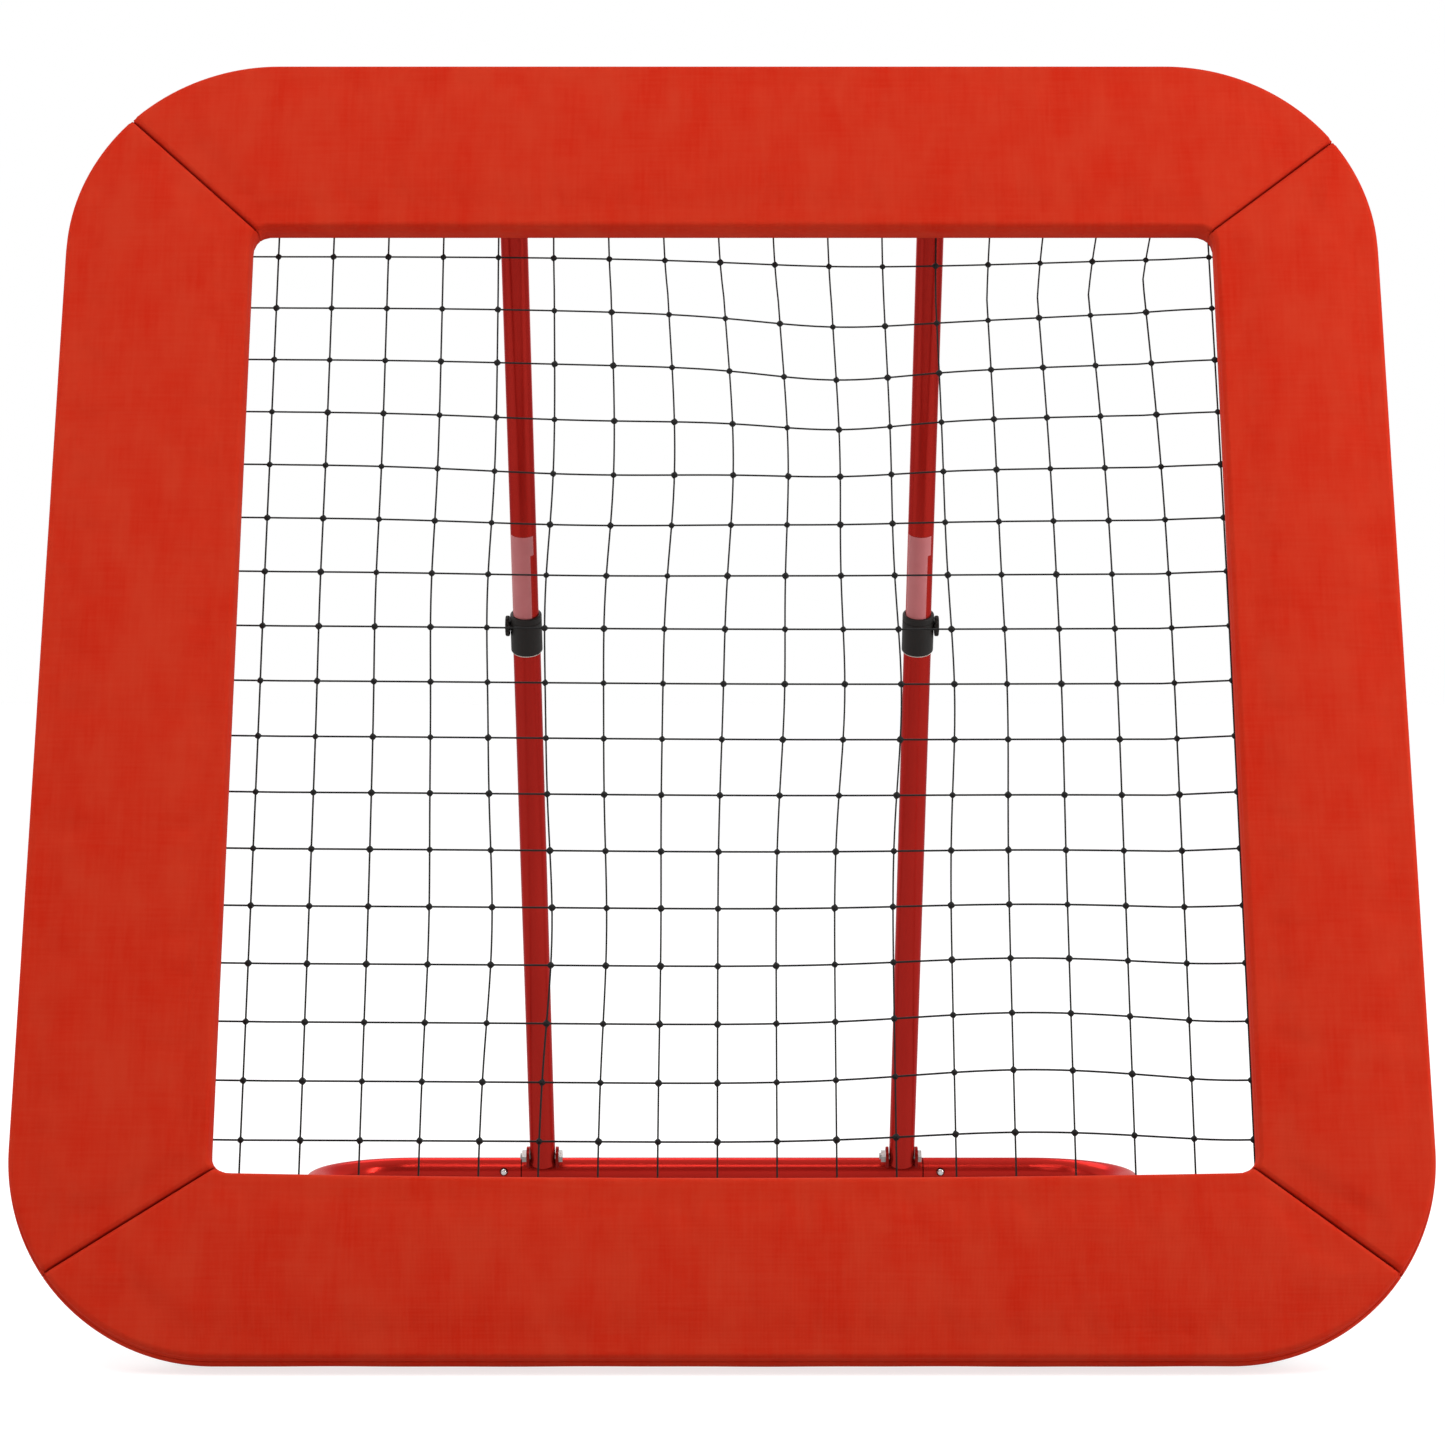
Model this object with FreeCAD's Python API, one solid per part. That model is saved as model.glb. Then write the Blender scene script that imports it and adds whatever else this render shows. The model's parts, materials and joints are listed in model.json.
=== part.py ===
import FreeCAD, Part
import math
import os

os.makedirs("parts", exist_ok=True)

V = FreeCAD.Vector
X_AXIS = V(1, 0, 0)
Y_AXIS = V(0, 1, 0)
Z_AXIS = V(0, 0, 1)
SIDES = (("left", -1), ("right", 1))

# How nearly level or upright an edge is when it is picked for rounding
LEVEL = 0.01
UPRIGHT = 0.9

# ---------------------------------------------------------------- driving dimensions, mm

# Padded face: a rounded rectangle that leans back from the vertical
FACE_WIDTH = 960.0
FACE_HEIGHT = 955.0
FACE_CORNER_R = 150.0
LEAN_DEG = 19.0
FACE_FOOT_Y = -416.915
FACE_FOOT_Z = 12.3

# Opening in the pads, set off to one side, and the ends of the four mitre seams
OPENING_LEFT = -345.3
OPENING_RIGHT = 361.3
OPENING_LOW = 124.0
OPENING_HIGH = 823.0
OPENING_CORNER_R = 13.0
SEAMS = {
    "top_left": ((-341.5, 820.6), (-436.5, 910.0)),
    "top_right": ((360.0, 820.6), (450.3, 892.0)),
    "bottom_left": ((-343.0, 126.5), (-451.6, 57.0)),
    "bottom_right": ((359.0, 126.5), (451.6, 57.0)),
}
SEAM_GAP = 0.8
SEAM_OVERRUN_IN = 40.0
SEAM_OVERRUN_OUT = 110.0
SEAM_CUT_MARGIN = 1.0
PAD_THICKNESS = 21.2
PAD_EDGE_R = 6.0
SKIRT_DEPTH = 35.0
SKIRT_START = 10.0
COVER_WALL = 1.2
FOAM_GAP = 0.3

# Frame tubes behind the pads, and the plane they lie in
FRAME_TUBE_R = 12.5
FRAME_TUBE_WALL = 1.2
FRAME_INSET = 17.5
FRAME_DEPTH = 35.0
FRAME_BEND_R = FACE_CORNER_R - FRAME_INSET
SWAGE_LENGTH = 35.0
SWAGE_CLEARANCE = 0.05
SWAGE_WALL = 1.2
SWAGE_SHOULDER = 2.0
JOINT_SCREW_R = 2.0
JOINT_SCREW_HEAD_R = 4.5
JOINT_SCREW_HEAD_H = 2.4
JOINT_SCREW_REACH = 6.0
JOINT_SCREW_OFFSET = 18.0

# Net, its edge rope and its springs
ROPE_HALF_WIDTH = 373.0
ROPE_LOW = 105.0
ROPE_HIGH = 850.0
ROPE_R = 3.0
ROPE_CORNER_R = 25.0
NET_FIRST_COLUMN = -369.5
NET_COLUMN_PITCH = 40.7
NET_COLUMNS = 19
NET_FIRST_ROW = 111.43
NET_ROW_PITCH = 41.37
NET_ROWS = 18
NET_STRAND = 1.6
SPRINGS_PER_SIDE = 8
SPRING_SPAN = 560.0
SPRING_COIL_R = 5.0
SPRING_BORE_R = 3.4
SPRING_WIRE_R = 1.0
SPRING_COIL_START = 9.0
SPRING_COIL_END = 62.0
SPRING_RING_R = 4.3
SPRING_HOLE_R = 1.6
SPRING_HOOK_DEPTH = 4.0
SPRING_CAP = 1.0
RING_CLEARANCE = 0.15

# Straps that tie the pads to the frame
STRAP_BORE_R = 12.6
STRAP_R = 13.6
STRAP_WIDTH = 25.0
STRAP_OFFSET = 230.0

# Base: a rear tube and two bent side tubes
BASE_TUBE_R = 11.2
BASE_TUBE_WALL = 1.2
BASE_Z = 14.2
REAR_Y = FACE_FOOT_Y + 821.0
BASE_JOINT_X = 179.5
LEG_X = 354.0
BASE_BEND_R = 80.0
HINGE_Y = FACE_FOOT_Y + 74.0
LEG_OVERHANG = 13.0
BASE_SWAGE_LENGTH = 45.0
LEG_PLUG_LENGTH = 6.0
LEG_PLUG_CAP = 2.0

# Snap buttons at the base joints
BUTTON_X = 195.0
BUTTON_R = 2.75
BUTTON_HOLE_R = 3.0
BUTTON_TIP = 14.2
BUTTON_DOME_R = 1.4
BUTTON_FLANGE_R = 4.5
BUTTON_FLANGE_FACE = 6.5
BUTTON_FLANGE_THICKNESS = 1.5
CLIP_WIDTH = 7.0
CLIP_GAUGE = 0.6
CLIP_LENGTH = 26.0
CLIP_BACK = 7.8

# Frame hinges on the leg ends
HINGE_PIN_R = 3.0
HINGE_HOLE_R = 3.1
HINGE_EAR_GAP = 23.4
HINGE_EAR_THICKNESS = 3.0
HINGE_EAR_R = 10.0
HINGE_EAR_ROOT_R = 9.0
SADDLE_WALL = 2.4
SADDLE_REACH = 60.0

# Bolt heads and lock nuts
HEAD_R = 4.9
HEAD_H = 3.3
NUT_R = 4.9
NUT_H = 4.1
WASHER_R = 6.2
WASHER_H = 1.0
WASHER_GAP = 0.2
BOLT_STICKOUT = 1.5
HEX_SIDES = 6
HEX_BLOCK = 60.0

# Struts: a lower tube on the rear tube, an upper tube that slides in it
STRUT_X = 159.7
STRUT_FOOT_DY = -21.7
STRUT_FOOT_DZ = 15.7
STRUT_HEAD_S = 915.0
STRUT_HEAD_D = 65.0
LOWER_R = 11.2
LOWER_WALL = 0.6
LOWER_OVERHANG = 6.0
LOWER_LENGTH = 538.5
UPPER_R = 10.45
UPPER_WALL = 0.8
UPPER_OVERHANG = 12.0
UPPER_START = 430.0
GUIDE_R = 10.55
GUIDE_LENGTH = 14.0
GUIDE_CAP = 3.0
TOP_PLUG_CAP = 1.6
TOP_PLUG_LENGTH = 6.0
STRUT_PIN_R = 2.9
STRUT_HOLE_R = 3.0
FOOT_EAR_GAP = 23.4
FOOT_EAR_THICKNESS = 2.5
FOOT_EAR_R = 8.5
FOOT_EAR_ROOT_R = 9.0
FOOT_SADDLE_WALL = 1.5
FOOT_SADDLE_LOW = 5.5
HEAD_EAR_GAP = 22.4
HEAD_EAR_THICKNESS = 3.0
HEAD_EAR_R = 11.0
SLOT_R = 3.3
SLOT_RUN_S = 1.55
SLOT_RUN_D = 4.9

# Collar, bush, clamp knob and label on each strut
COLLAR_R = 12.85
COLLAR_LOW = 510.0
COLLAR_HIGH = 543.5
COLLAR_EDGE_R = 1.2
COLLAR_LIP = 3.0
COLLAR_GROOVE_DROP = 5.0
COLLAR_GROOVE_DEPTH = 0.3
COLLAR_GROOVE_WIDTH = 0.7
BUSH_BORE_R = 10.6
BUSH_FLANGE_R = 12.0
BUSH_LIP_R = 11.9
BUSH_LIP_LOW = 509.3
KNOB_Z = 532.2
KNOB_R = 8.5
KNOB_H = 3.6
KNOB_NECK_GAP = 0.4
KNOB_NECK_R = 4.0
KNOB_NECK_START = 0.1
KNOB_EDGE_R = 1.3
KNOB_FLUTES = 12
KNOB_FLUTE_R = 1.1
KNOB_FLUTE_INSET = 0.7
SCREW_R = 2.5
SCREW_HOLE_R = 2.6
SCREW_WAY_R = 3.1
SCREW_TIP = 10.85
LABEL_LOW = 537.0
LABEL_HIGH = 617.0
LABEL_STEP_Z = 600.0
LABEL_THICKNESS = 0.06
LABEL_START_DEG = -72.0
LABEL_STOP_DEG = 50.0
LABEL_STEP_DEG = 18.0
WEDGE_POINTS = 5

# Feet under the base
FOOT_LENGTH = 34.0
FOOT_HALF_WIDTH = 14.0
FOOT_TOP = 15.5
FOOT_CLEARANCE = 0.05
FOOT_CORNER_R = 4.0
REAR_FOOT_Y = REAR_Y - 112.0
FRONT_FOOT_Y = HINGE_Y + 42.0

# ---------------------------------------------------------------- frames of reference

FRAME_PLACE = FreeCAD.Placement(V(0, FACE_FOOT_Y, FACE_FOOT_Z), FreeCAD.Rotation(X_AXIS, 90.0 - LEAN_DEG))


def face_point(x, s, d):
    """A point x across, s up and d behind the padded face, in the face's own frame."""
    return V(x, s, -d)


HINGE = V(0, HINGE_Y, BASE_Z)
STRUT_FOOT = V(0, REAR_Y + STRUT_FOOT_DY, BASE_Z + STRUT_FOOT_DZ)
STRUT_HEAD = FRAME_PLACE.multVec(face_point(0, STRUT_HEAD_S, STRUT_HEAD_D))
STRUT_LENGTH = STRUT_HEAD.sub(STRUT_FOOT).Length
STRUT_LEAN_DEG = math.degrees(math.atan2(STRUT_FOOT.y - STRUT_HEAD.y, STRUT_HEAD.z - STRUT_FOOT.z))


def strut_place(side):
    """Placement of one strut's own frame: origin at the foot bolt, +Z up the strut."""
    base = V(side * STRUT_X, STRUT_FOOT.y, STRUT_FOOT.z)
    return FreeCAD.Placement(base, FreeCAD.Rotation(X_AXIS, STRUT_LEAN_DEG))


def moved(shape, placement):
    """A copy of a shape carried into the row's frame."""
    return shape.transformed(placement.toMatrix(), True)


def export(name, shape):
    """Write one node."""
    shape.exportStep("parts/%s.step" % name)


# ---------------------------------------------------------------- shared shapes


def rod(radius, start, end):
    """A round bar between two points."""
    run = end.sub(start)
    return Part.makeCylinder(radius, run.Length, start, run)


def tube(radius, bore, start, end):
    """A round tube between two points."""
    return rod(radius, start, end).cut(rod(bore, start, end))


def slab(points, normal_run):
    """A flat polygon made thick."""
    return Part.Face(Part.makePolygon(points + [points[0]])).extrude(normal_run)


def bend_path(start, corner, end, bend_r):
    """Two straight runs joined by an arc."""
    back = start.sub(corner).normalize()
    ahead = end.sub(corner).normalize()
    first = corner.add(V(back).multiply(bend_r))
    last = corner.add(V(ahead).multiply(bend_r))
    centre = first.add(V(ahead).multiply(bend_r))
    middle = centre.add(corner.sub(centre).normalize().multiply(bend_r))
    edges = [Part.LineSegment(start, first).toShape()]
    edges.append(Part.Arc(first, middle, last).toShape())
    edges.append(Part.LineSegment(last, end).toShape())
    return Part.Wire(edges)


def bent_bar(start, corner, end, bend_r, radius):
    """A round bar with one bend."""
    ring = Part.Wire(Part.makeCircle(radius, start, corner.sub(start)))
    return bend_path(start, corner, end, bend_r).makePipe(Part.Face(ring))


def rounded_rectangle(left, right, low, high, radius):
    """A flat face with round corners in the XY plane."""
    box = Part.makePlane(right - left, high - low, V(left, low, 0))
    prism = box.extrude(Z_AXIS)
    uprights = [e for e in prism.Edges if abs(e.tangentAt(e.FirstParameter).z) > UPRIGHT]
    solid = prism.makeFillet(radius, uprights)
    floor = [f for f in solid.Faces if f.CenterOfMass.z < LEVEL]
    return floor[0]


def link_plate(centre_a, radius_a, centre_b, radius_b, x_low, thickness):
    """A plate in the YZ plane that wraps two circles, from x_low in +X."""
    gap = centre_b.sub(centre_a)
    turn = math.atan2(gap.z, gap.y)
    swing = math.acos((radius_a - radius_b) / gap.Length)
    ends = []
    for angle in (turn + swing, turn - swing):
        way = V(0, math.cos(angle), math.sin(angle))
        ends.append((centre_a.add(V(way).multiply(radius_a)), centre_b.add(V(way).multiply(radius_b))))
    points = [ends[0][0], ends[0][1], ends[1][1], ends[1][0]]
    corners = [V(x_low, p.y, p.z) for p in points]
    body = slab(corners, V(thickness, 0, 0))
    for centre, radius in ((centre_a, radius_a), (centre_b, radius_b)):
        body = body.fuse(rod(radius, V(x_low, centre.y, centre.z), V(x_low + thickness, centre.y, centre.z)))
    return body.removeSplitter()


def hex_bar(radius, start, end):
    """A six-sided bar, radius to the flats."""
    run = end.sub(start)
    blank = rod(radius / math.cos(math.pi / HEX_SIDES), start, end)
    place = FreeCAD.Placement(start, FreeCAD.Rotation(Z_AXIS, run))
    blocks = []
    for step in range(HEX_SIDES):
        block = Part.makeBox(HEX_BLOCK, HEX_BLOCK, HEX_BLOCK, V(radius, -HEX_BLOCK / 2, -HEX_BLOCK / 2))
        turn = FreeCAD.Placement(V(0, 0, 0), FreeCAD.Rotation(Z_AXIS, 360.0 / HEX_SIDES * step))
        blocks.append(moved(block, place.multiply(turn)))
    return blank.cut(blocks)


# ---------------------------------------------------------------- pads: covers and foam

PAD_CENTRES = {
    "top": V(0, FACE_HEIGHT, 0),
    "bottom": V(0, 0, 0),
    "left": V(-FACE_WIDTH / 2, FACE_HEIGHT / 2, 0),
    "right": V(FACE_WIDTH / 2, FACE_HEIGHT / 2, 0),
}


def seam_cutters(gap, depth):
    """Thin walls that part the ring of padding along its four mitre seams."""
    walls = []
    for inner, outer in SEAMS.values():
        a = V(inner[0], inner[1], 0)
        b = V(outer[0], outer[1], 0)
        way = b.sub(a).normalize()
        across = V(-way.y, way.x, 0).multiply(gap / 2)
        first = a.sub(V(way).multiply(SEAM_OVERRUN_IN))
        last = b.add(V(way).multiply(SEAM_OVERRUN_OUT))
        corners = [first.add(across), last.add(across), last.sub(across), first.sub(across)]
        top = [V(p.x, p.y, SEAM_CUT_MARGIN) for p in corners]
        walls.append(slab(top, V(0, 0, -depth - 2 * SEAM_CUT_MARGIN)))
    return walls


def ring_piece(name, solids):
    """The piece of the ring nearest to one pad's middle."""
    return min(solids, key=lambda s: s.CenterOfMass.sub(PAD_CENTRES[name]).Length)


def ring(inset, front, back):
    """The whole ring of padding, drawn in by an inset, between two depths."""
    half = FACE_WIDTH / 2 - inset
    outer = rounded_rectangle(-half, half, inset, FACE_HEIGHT - inset, FACE_CORNER_R - inset)
    left = OPENING_LEFT - inset
    right = OPENING_RIGHT + inset
    low = OPENING_LOW - inset
    high = OPENING_HIGH + inset
    inner = rounded_rectangle(left, right, low, high, OPENING_CORNER_R + inset)
    face = outer.cut(inner)
    face.translate(V(0, 0, -front))
    return face.extrude(V(0, 0, front - back))


def pad_solids(inset, front, back, edge_r):
    """Four pads with rolled front edges."""
    pads = ring(inset, front, back).cut(seam_cutters(SEAM_GAP + 2 * inset, back)).Solids
    rolled = {}
    for name in PAD_CENTRES:
        pad = ring_piece(name, pads)
        boxes = [(e, e.BoundBox) for e in pad.Edges]
        lip = [e for e, box in boxes if max(abs(box.ZMin + front), abs(box.ZMax + front)) < LEVEL]
        rolled[name] = pad.makeFillet(edge_r, lip)
    return rolled


def skirt_solids():
    """Four side walls that hang behind the outer edge."""
    half = FACE_WIDTH / 2
    outer = rounded_rectangle(-half, half, 0, FACE_HEIGHT, FACE_CORNER_R)
    thin = half - COVER_WALL
    inner = rounded_rectangle(-thin, thin, COVER_WALL, FACE_HEIGHT - COVER_WALL, FACE_CORNER_R - COVER_WALL)
    band = outer.cut(inner)
    band.translate(V(0, 0, -SKIRT_START))
    wall = band.extrude(V(0, 0, SKIRT_START - SKIRT_DEPTH))
    return wall.cut(seam_cutters(SEAM_GAP, SKIRT_DEPTH)).Solids


outer_pads = pad_solids(0.0, 0.0, PAD_THICKNESS, PAD_EDGE_R)
hollows = pad_solids(COVER_WALL, COVER_WALL, PAD_THICKNESS - COVER_WALL, PAD_EDGE_R - COVER_WALL)
foam_inset = COVER_WALL + FOAM_GAP
foams = pad_solids(foam_inset, foam_inset, PAD_THICKNESS - foam_inset, PAD_EDGE_R - foam_inset)
skirts = skirt_solids()
for pad_name in PAD_CENTRES:
    cover = outer_pads[pad_name].cut(hollows[pad_name])
    cover = cover.fuse(ring_piece(pad_name, skirts)).removeSplitter()
    export("pad_cover_" + pad_name, moved(cover, FRAME_PLACE))
    export("pad_foam_" + pad_name, moved(foams[pad_name], FRAME_PLACE))

# ---------------------------------------------------------------- frame of four bent tubes

TUBE_X = FACE_WIDTH / 2 - FRAME_INSET
TUBE_LOW = FRAME_INSET
TUBE_HIGH = FACE_HEIGHT - FRAME_INSET
TUBE_MID = FACE_HEIGHT / 2
TUBE_BORE_R = FRAME_TUBE_R - FRAME_TUBE_WALL
SWAGE_R = TUBE_BORE_R - SWAGE_CLEARANCE
SWAGE_BORE_R = SWAGE_R - SWAGE_WALL


def frame_point(x, s):
    """A point in the plane of the frame tubes."""
    return face_point(x, s, FRAME_DEPTH)


CORNERS = {
    "top_left": (frame_point(-TUBE_X, TUBE_MID), frame_point(-TUBE_X, TUBE_HIGH), frame_point(0, TUBE_HIGH)),
    "top_right": (frame_point(0, TUBE_HIGH), frame_point(TUBE_X, TUBE_HIGH), frame_point(TUBE_X, TUBE_MID)),
    "bottom_right": (frame_point(TUBE_X, TUBE_MID), frame_point(TUBE_X, TUBE_LOW), frame_point(0, TUBE_LOW)),
    "bottom_left": (frame_point(0, TUBE_LOW), frame_point(-TUBE_X, TUBE_LOW), frame_point(-TUBE_X, TUBE_MID)),
}


def spring_seats():
    """Where each spring leaves the frame, and the way it points, side by side."""
    pitch = SPRING_SPAN / (SPRINGS_PER_SIDE - 1)
    seats = {"top": [], "bottom": [], "left": [], "right": []}
    for step in range(SPRINGS_PER_SIDE):
        offset = step * pitch - SPRING_SPAN / 2
        seats["top"].append((frame_point(offset, TUBE_HIGH), V(0, -1, 0)))
        seats["bottom"].append((frame_point(offset, TUBE_LOW), V(0, 1, 0)))
        seats["left"].append((frame_point(-TUBE_X, TUBE_MID + offset), V(1, 0, 0)))
        seats["right"].append((frame_point(TUBE_X, TUBE_MID + offset), V(-1, 0, 0)))
    return seats


SEATS = spring_seats()


def corner_tube(start, corner, end):
    """One bent tube with a plain end and a swaged end that plugs into the next tube."""
    way = end.sub(corner).normalize()
    swage_end = end.add(V(way).multiply(SWAGE_LENGTH))
    body = bent_bar(start, corner, end, FRAME_BEND_R, FRAME_TUBE_R)
    body = body.fuse(rod(SWAGE_R, end, swage_end))
    bore_end = end.sub(V(way).multiply(SWAGE_SHOULDER))
    body = body.cut(bent_bar(start, corner, bore_end, FRAME_BEND_R, TUBE_BORE_R))
    body = body.cut(rod(SWAGE_BORE_R, end.sub(V(way).multiply(2 * SWAGE_SHOULDER)), swage_end))
    into = corner.sub(start).normalize()
    holes = []
    for point, line in ((start, into), (end, way)):
        screw = point.add(V(line).multiply(JOINT_SCREW_OFFSET))
        holes.append(rod(JOINT_SCREW_R, screw, screw.sub(V(0, 0, 2 * FRAME_TUBE_R))))
    for side in SEATS.values():
        for seat, aim in side:
            holes.append(rod(SPRING_HOLE_R, seat, seat.add(V(aim).multiply(2 * FRAME_TUBE_R))))
    return body.cut(holes)


for corner_name, (start_pt, corner_pt, end_pt) in CORNERS.items():
    export("frame_tube_" + corner_name, moved(corner_tube(start_pt, corner_pt, end_pt), FRAME_PLACE))

joint_screws = []
for start_pt, corner_pt, end_pt in CORNERS.values():
    line_in = corner_pt.sub(start_pt).normalize()
    middle_pt = start_pt.add(line_in.multiply(JOINT_SCREW_OFFSET))
    head_pt = middle_pt.sub(V(0, 0, FRAME_TUBE_R))
    shank = rod(JOINT_SCREW_R, middle_pt.sub(V(0, 0, JOINT_SCREW_REACH)), head_pt)
    head = rod(JOINT_SCREW_HEAD_R, head_pt, head_pt.sub(V(0, 0, JOINT_SCREW_HEAD_H)))
    joint_screws.append(shank.fuse(head).removeSplitter())
export("frame_joint_screws", moved(Part.makeCompound(joint_screws), FRAME_PLACE))

straps = []
for offset in (-STRAP_OFFSET, STRAP_OFFSET):
    for centre_pt, way in (
        (frame_point(offset, TUBE_HIGH), X_AXIS),
        (frame_point(offset, TUBE_LOW), X_AXIS),
        (frame_point(-TUBE_X, TUBE_MID + offset), Y_AXIS),
        (frame_point(TUBE_X, TUBE_MID + offset), Y_AXIS),
    ):
        half_run = V(way).multiply(STRAP_WIDTH / 2)
        straps.append(tube(STRAP_R, STRAP_BORE_R, centre_pt.sub(half_run), centre_pt.add(half_run)))
export("pad_straps", moved(Part.makeCompound(straps), FRAME_PLACE))

# ---------------------------------------------------------------- net, edge rope and springs


def net_lines(first, pitch, count, low, high):
    """Edges of the gaps between the strands along one direction."""
    centres = [first + pitch * n for n in range(count)]
    starts = [low] + [c + NET_STRAND / 2 for c in centres]
    stops = [c - NET_STRAND / 2 for c in centres] + [high]
    return [(a, b) for a, b in zip(starts, stops) if b - a > NET_STRAND]


ROPE_GAPS = {
    "top": TUBE_HIGH - ROPE_HIGH,
    "bottom": ROPE_LOW - TUBE_LOW,
    "left": TUBE_X - ROPE_HALF_WIDTH,
    "right": TUBE_X - ROPE_HALF_WIDTH,
}


def ring_notch(seat, aim, rope_gap):
    """The gap in the net's edge that one spring ring passes through."""
    centre = seat.add(V(aim).multiply(rope_gap))
    far = centre.add(V(aim).multiply(SPRING_RING_R + SPRING_WIRE_R + RING_CLEARANCE))
    half = V(abs(aim.y), abs(aim.x), 0).multiply(SPRING_WIRE_R + RING_CLEARANCE)
    low = V(min(centre.x, far.x), min(centre.y, far.y), 0).sub(half)
    high = V(max(centre.x, far.x), max(centre.y, far.y), 0).add(half)
    return Part.makePlane(high.x - low.x, high.y - low.y, low)


net_half = ROPE_HALF_WIDTH - ROPE_R
net_low = ROPE_LOW + ROPE_R
net_high = ROPE_HIGH - ROPE_R
columns = net_lines(NET_FIRST_COLUMN, NET_COLUMN_PITCH, NET_COLUMNS, -net_half, net_half)
rows = net_lines(NET_FIRST_ROW, NET_ROW_PITCH, NET_ROWS, net_low, net_high)
net_depth = FRAME_DEPTH - NET_STRAND / 2
sheet = rounded_rectangle(-net_half, net_half, net_low, net_high, ROPE_CORNER_R - ROPE_R)
gaps = []
for side_name, side_seats in SEATS.items():
    gaps += [ring_notch(seat, aim, ROPE_GAPS[side_name]) for seat, aim in side_seats]
for x0, x1 in columns:
    for y0, y1 in rows:
        low_x = max(x0, -net_half + NET_STRAND)
        high_x = min(x1, net_half - NET_STRAND)
        low_y = max(y0, net_low + NET_STRAND)
        high_y = min(y1, net_high - NET_STRAND)
        if high_x - low_x > NET_STRAND and high_y - low_y > NET_STRAND:
            gaps.append(Part.makePlane(high_x - low_x, high_y - low_y, V(low_x, low_y, 0)))
net_face = sheet.cut(gaps)
net_face.translate(V(0, 0, -net_depth))
export("net", moved(net_face.extrude(V(0, 0, -NET_STRAND)), FRAME_PLACE))

rope_path = rounded_rectangle(-ROPE_HALF_WIDTH, ROPE_HALF_WIDTH, ROPE_LOW, ROPE_HIGH, ROPE_CORNER_R).OuterWire
rope_path.translate(V(0, 0, -FRAME_DEPTH))
rope_edges = Part.sortEdges(rope_path.Edges)[0]
rope_wire = Part.Wire(rope_edges)
rope_start = rope_edges[0].valueAt(rope_edges[0].FirstParameter)
rope_aim = rope_edges[0].tangentAt(rope_edges[0].FirstParameter)
rope_ring = Part.Wire(Part.makeCircle(ROPE_R, rope_start, rope_aim))
rope = rope_wire.makePipeShell([rope_ring], True, False)
export("net_border_rope", moved(rope, FRAME_PLACE))


def net_spring(seat, aim, rope_gap):
    """An extension spring: a hook in the frame tube, a coil and a ring round the rope."""
    def at(distance):
        return seat.add(V(aim).multiply(distance))

    wall = FRAME_TUBE_R
    ring_centre = at(rope_gap)
    coil = tube(SPRING_COIL_R, SPRING_BORE_R, at(wall + SPRING_COIL_START), at(wall + SPRING_COIL_END))
    cap_low = rod(SPRING_COIL_R, at(wall + SPRING_COIL_START - SPRING_CAP), at(wall + SPRING_COIL_START))
    cap_high = rod(SPRING_COIL_R, at(wall + SPRING_COIL_END), at(wall + SPRING_COIL_END + SPRING_CAP))
    hook = rod(SPRING_WIRE_R, at(wall - SPRING_HOOK_DEPTH), at(wall + SPRING_COIL_START))
    stem = rod(SPRING_WIRE_R, at(wall + SPRING_COIL_END), at(rope_gap - SPRING_RING_R))
    along = V(aim.y, aim.x, 0)
    eye = Part.makeTorus(SPRING_RING_R, SPRING_WIRE_R, ring_centre, along)
    return coil.fuse([cap_low, cap_high, hook, stem, eye]).removeSplitter()


for side_name, side_seats in SEATS.items():
    coils = [net_spring(seat, aim, ROPE_GAPS[side_name]) for seat, aim in side_seats]
    export("net_springs_" + side_name, moved(Part.makeCompound(coils), FRAME_PLACE))

# ---------------------------------------------------------------- base tubes

BASE_BORE_R = BASE_TUBE_R - BASE_TUBE_WALL
BASE_SWAGE_R = BASE_BORE_R - SWAGE_CLEARANCE
BASE_SWAGE_BORE_R = BASE_SWAGE_R - SWAGE_WALL


def rear_point(x):
    """A point on the rear tube's centre line."""
    return V(x, REAR_Y, BASE_Z)


def button_hole(side):
    """The hole that one snap button stands in, through the front wall."""
    middle = rear_point(side * BUTTON_X)
    return rod(BUTTON_HOLE_R, middle, middle.sub(V(0, 2 * BASE_TUBE_R, 0)))


swage_x = BASE_JOINT_X + BASE_SWAGE_LENGTH
bore_x = BASE_JOINT_X - SWAGE_SHOULDER
rear_tube = rod(BASE_TUBE_R, rear_point(-BASE_JOINT_X), rear_point(BASE_JOINT_X))
rear_tube = rear_tube.fuse(rod(BASE_SWAGE_R, rear_point(-swage_x), rear_point(swage_x)))
rear_tube = rear_tube.cut(rod(BASE_BORE_R, rear_point(-bore_x), rear_point(bore_x)))
rear_tube = rear_tube.cut(rod(BASE_SWAGE_BORE_R, rear_point(-swage_x), rear_point(swage_x)))
rear_tube = rear_tube.cut([button_hole(-1), button_hole(1)])
export("base_rear_tube", rear_tube.removeSplitter())

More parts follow.
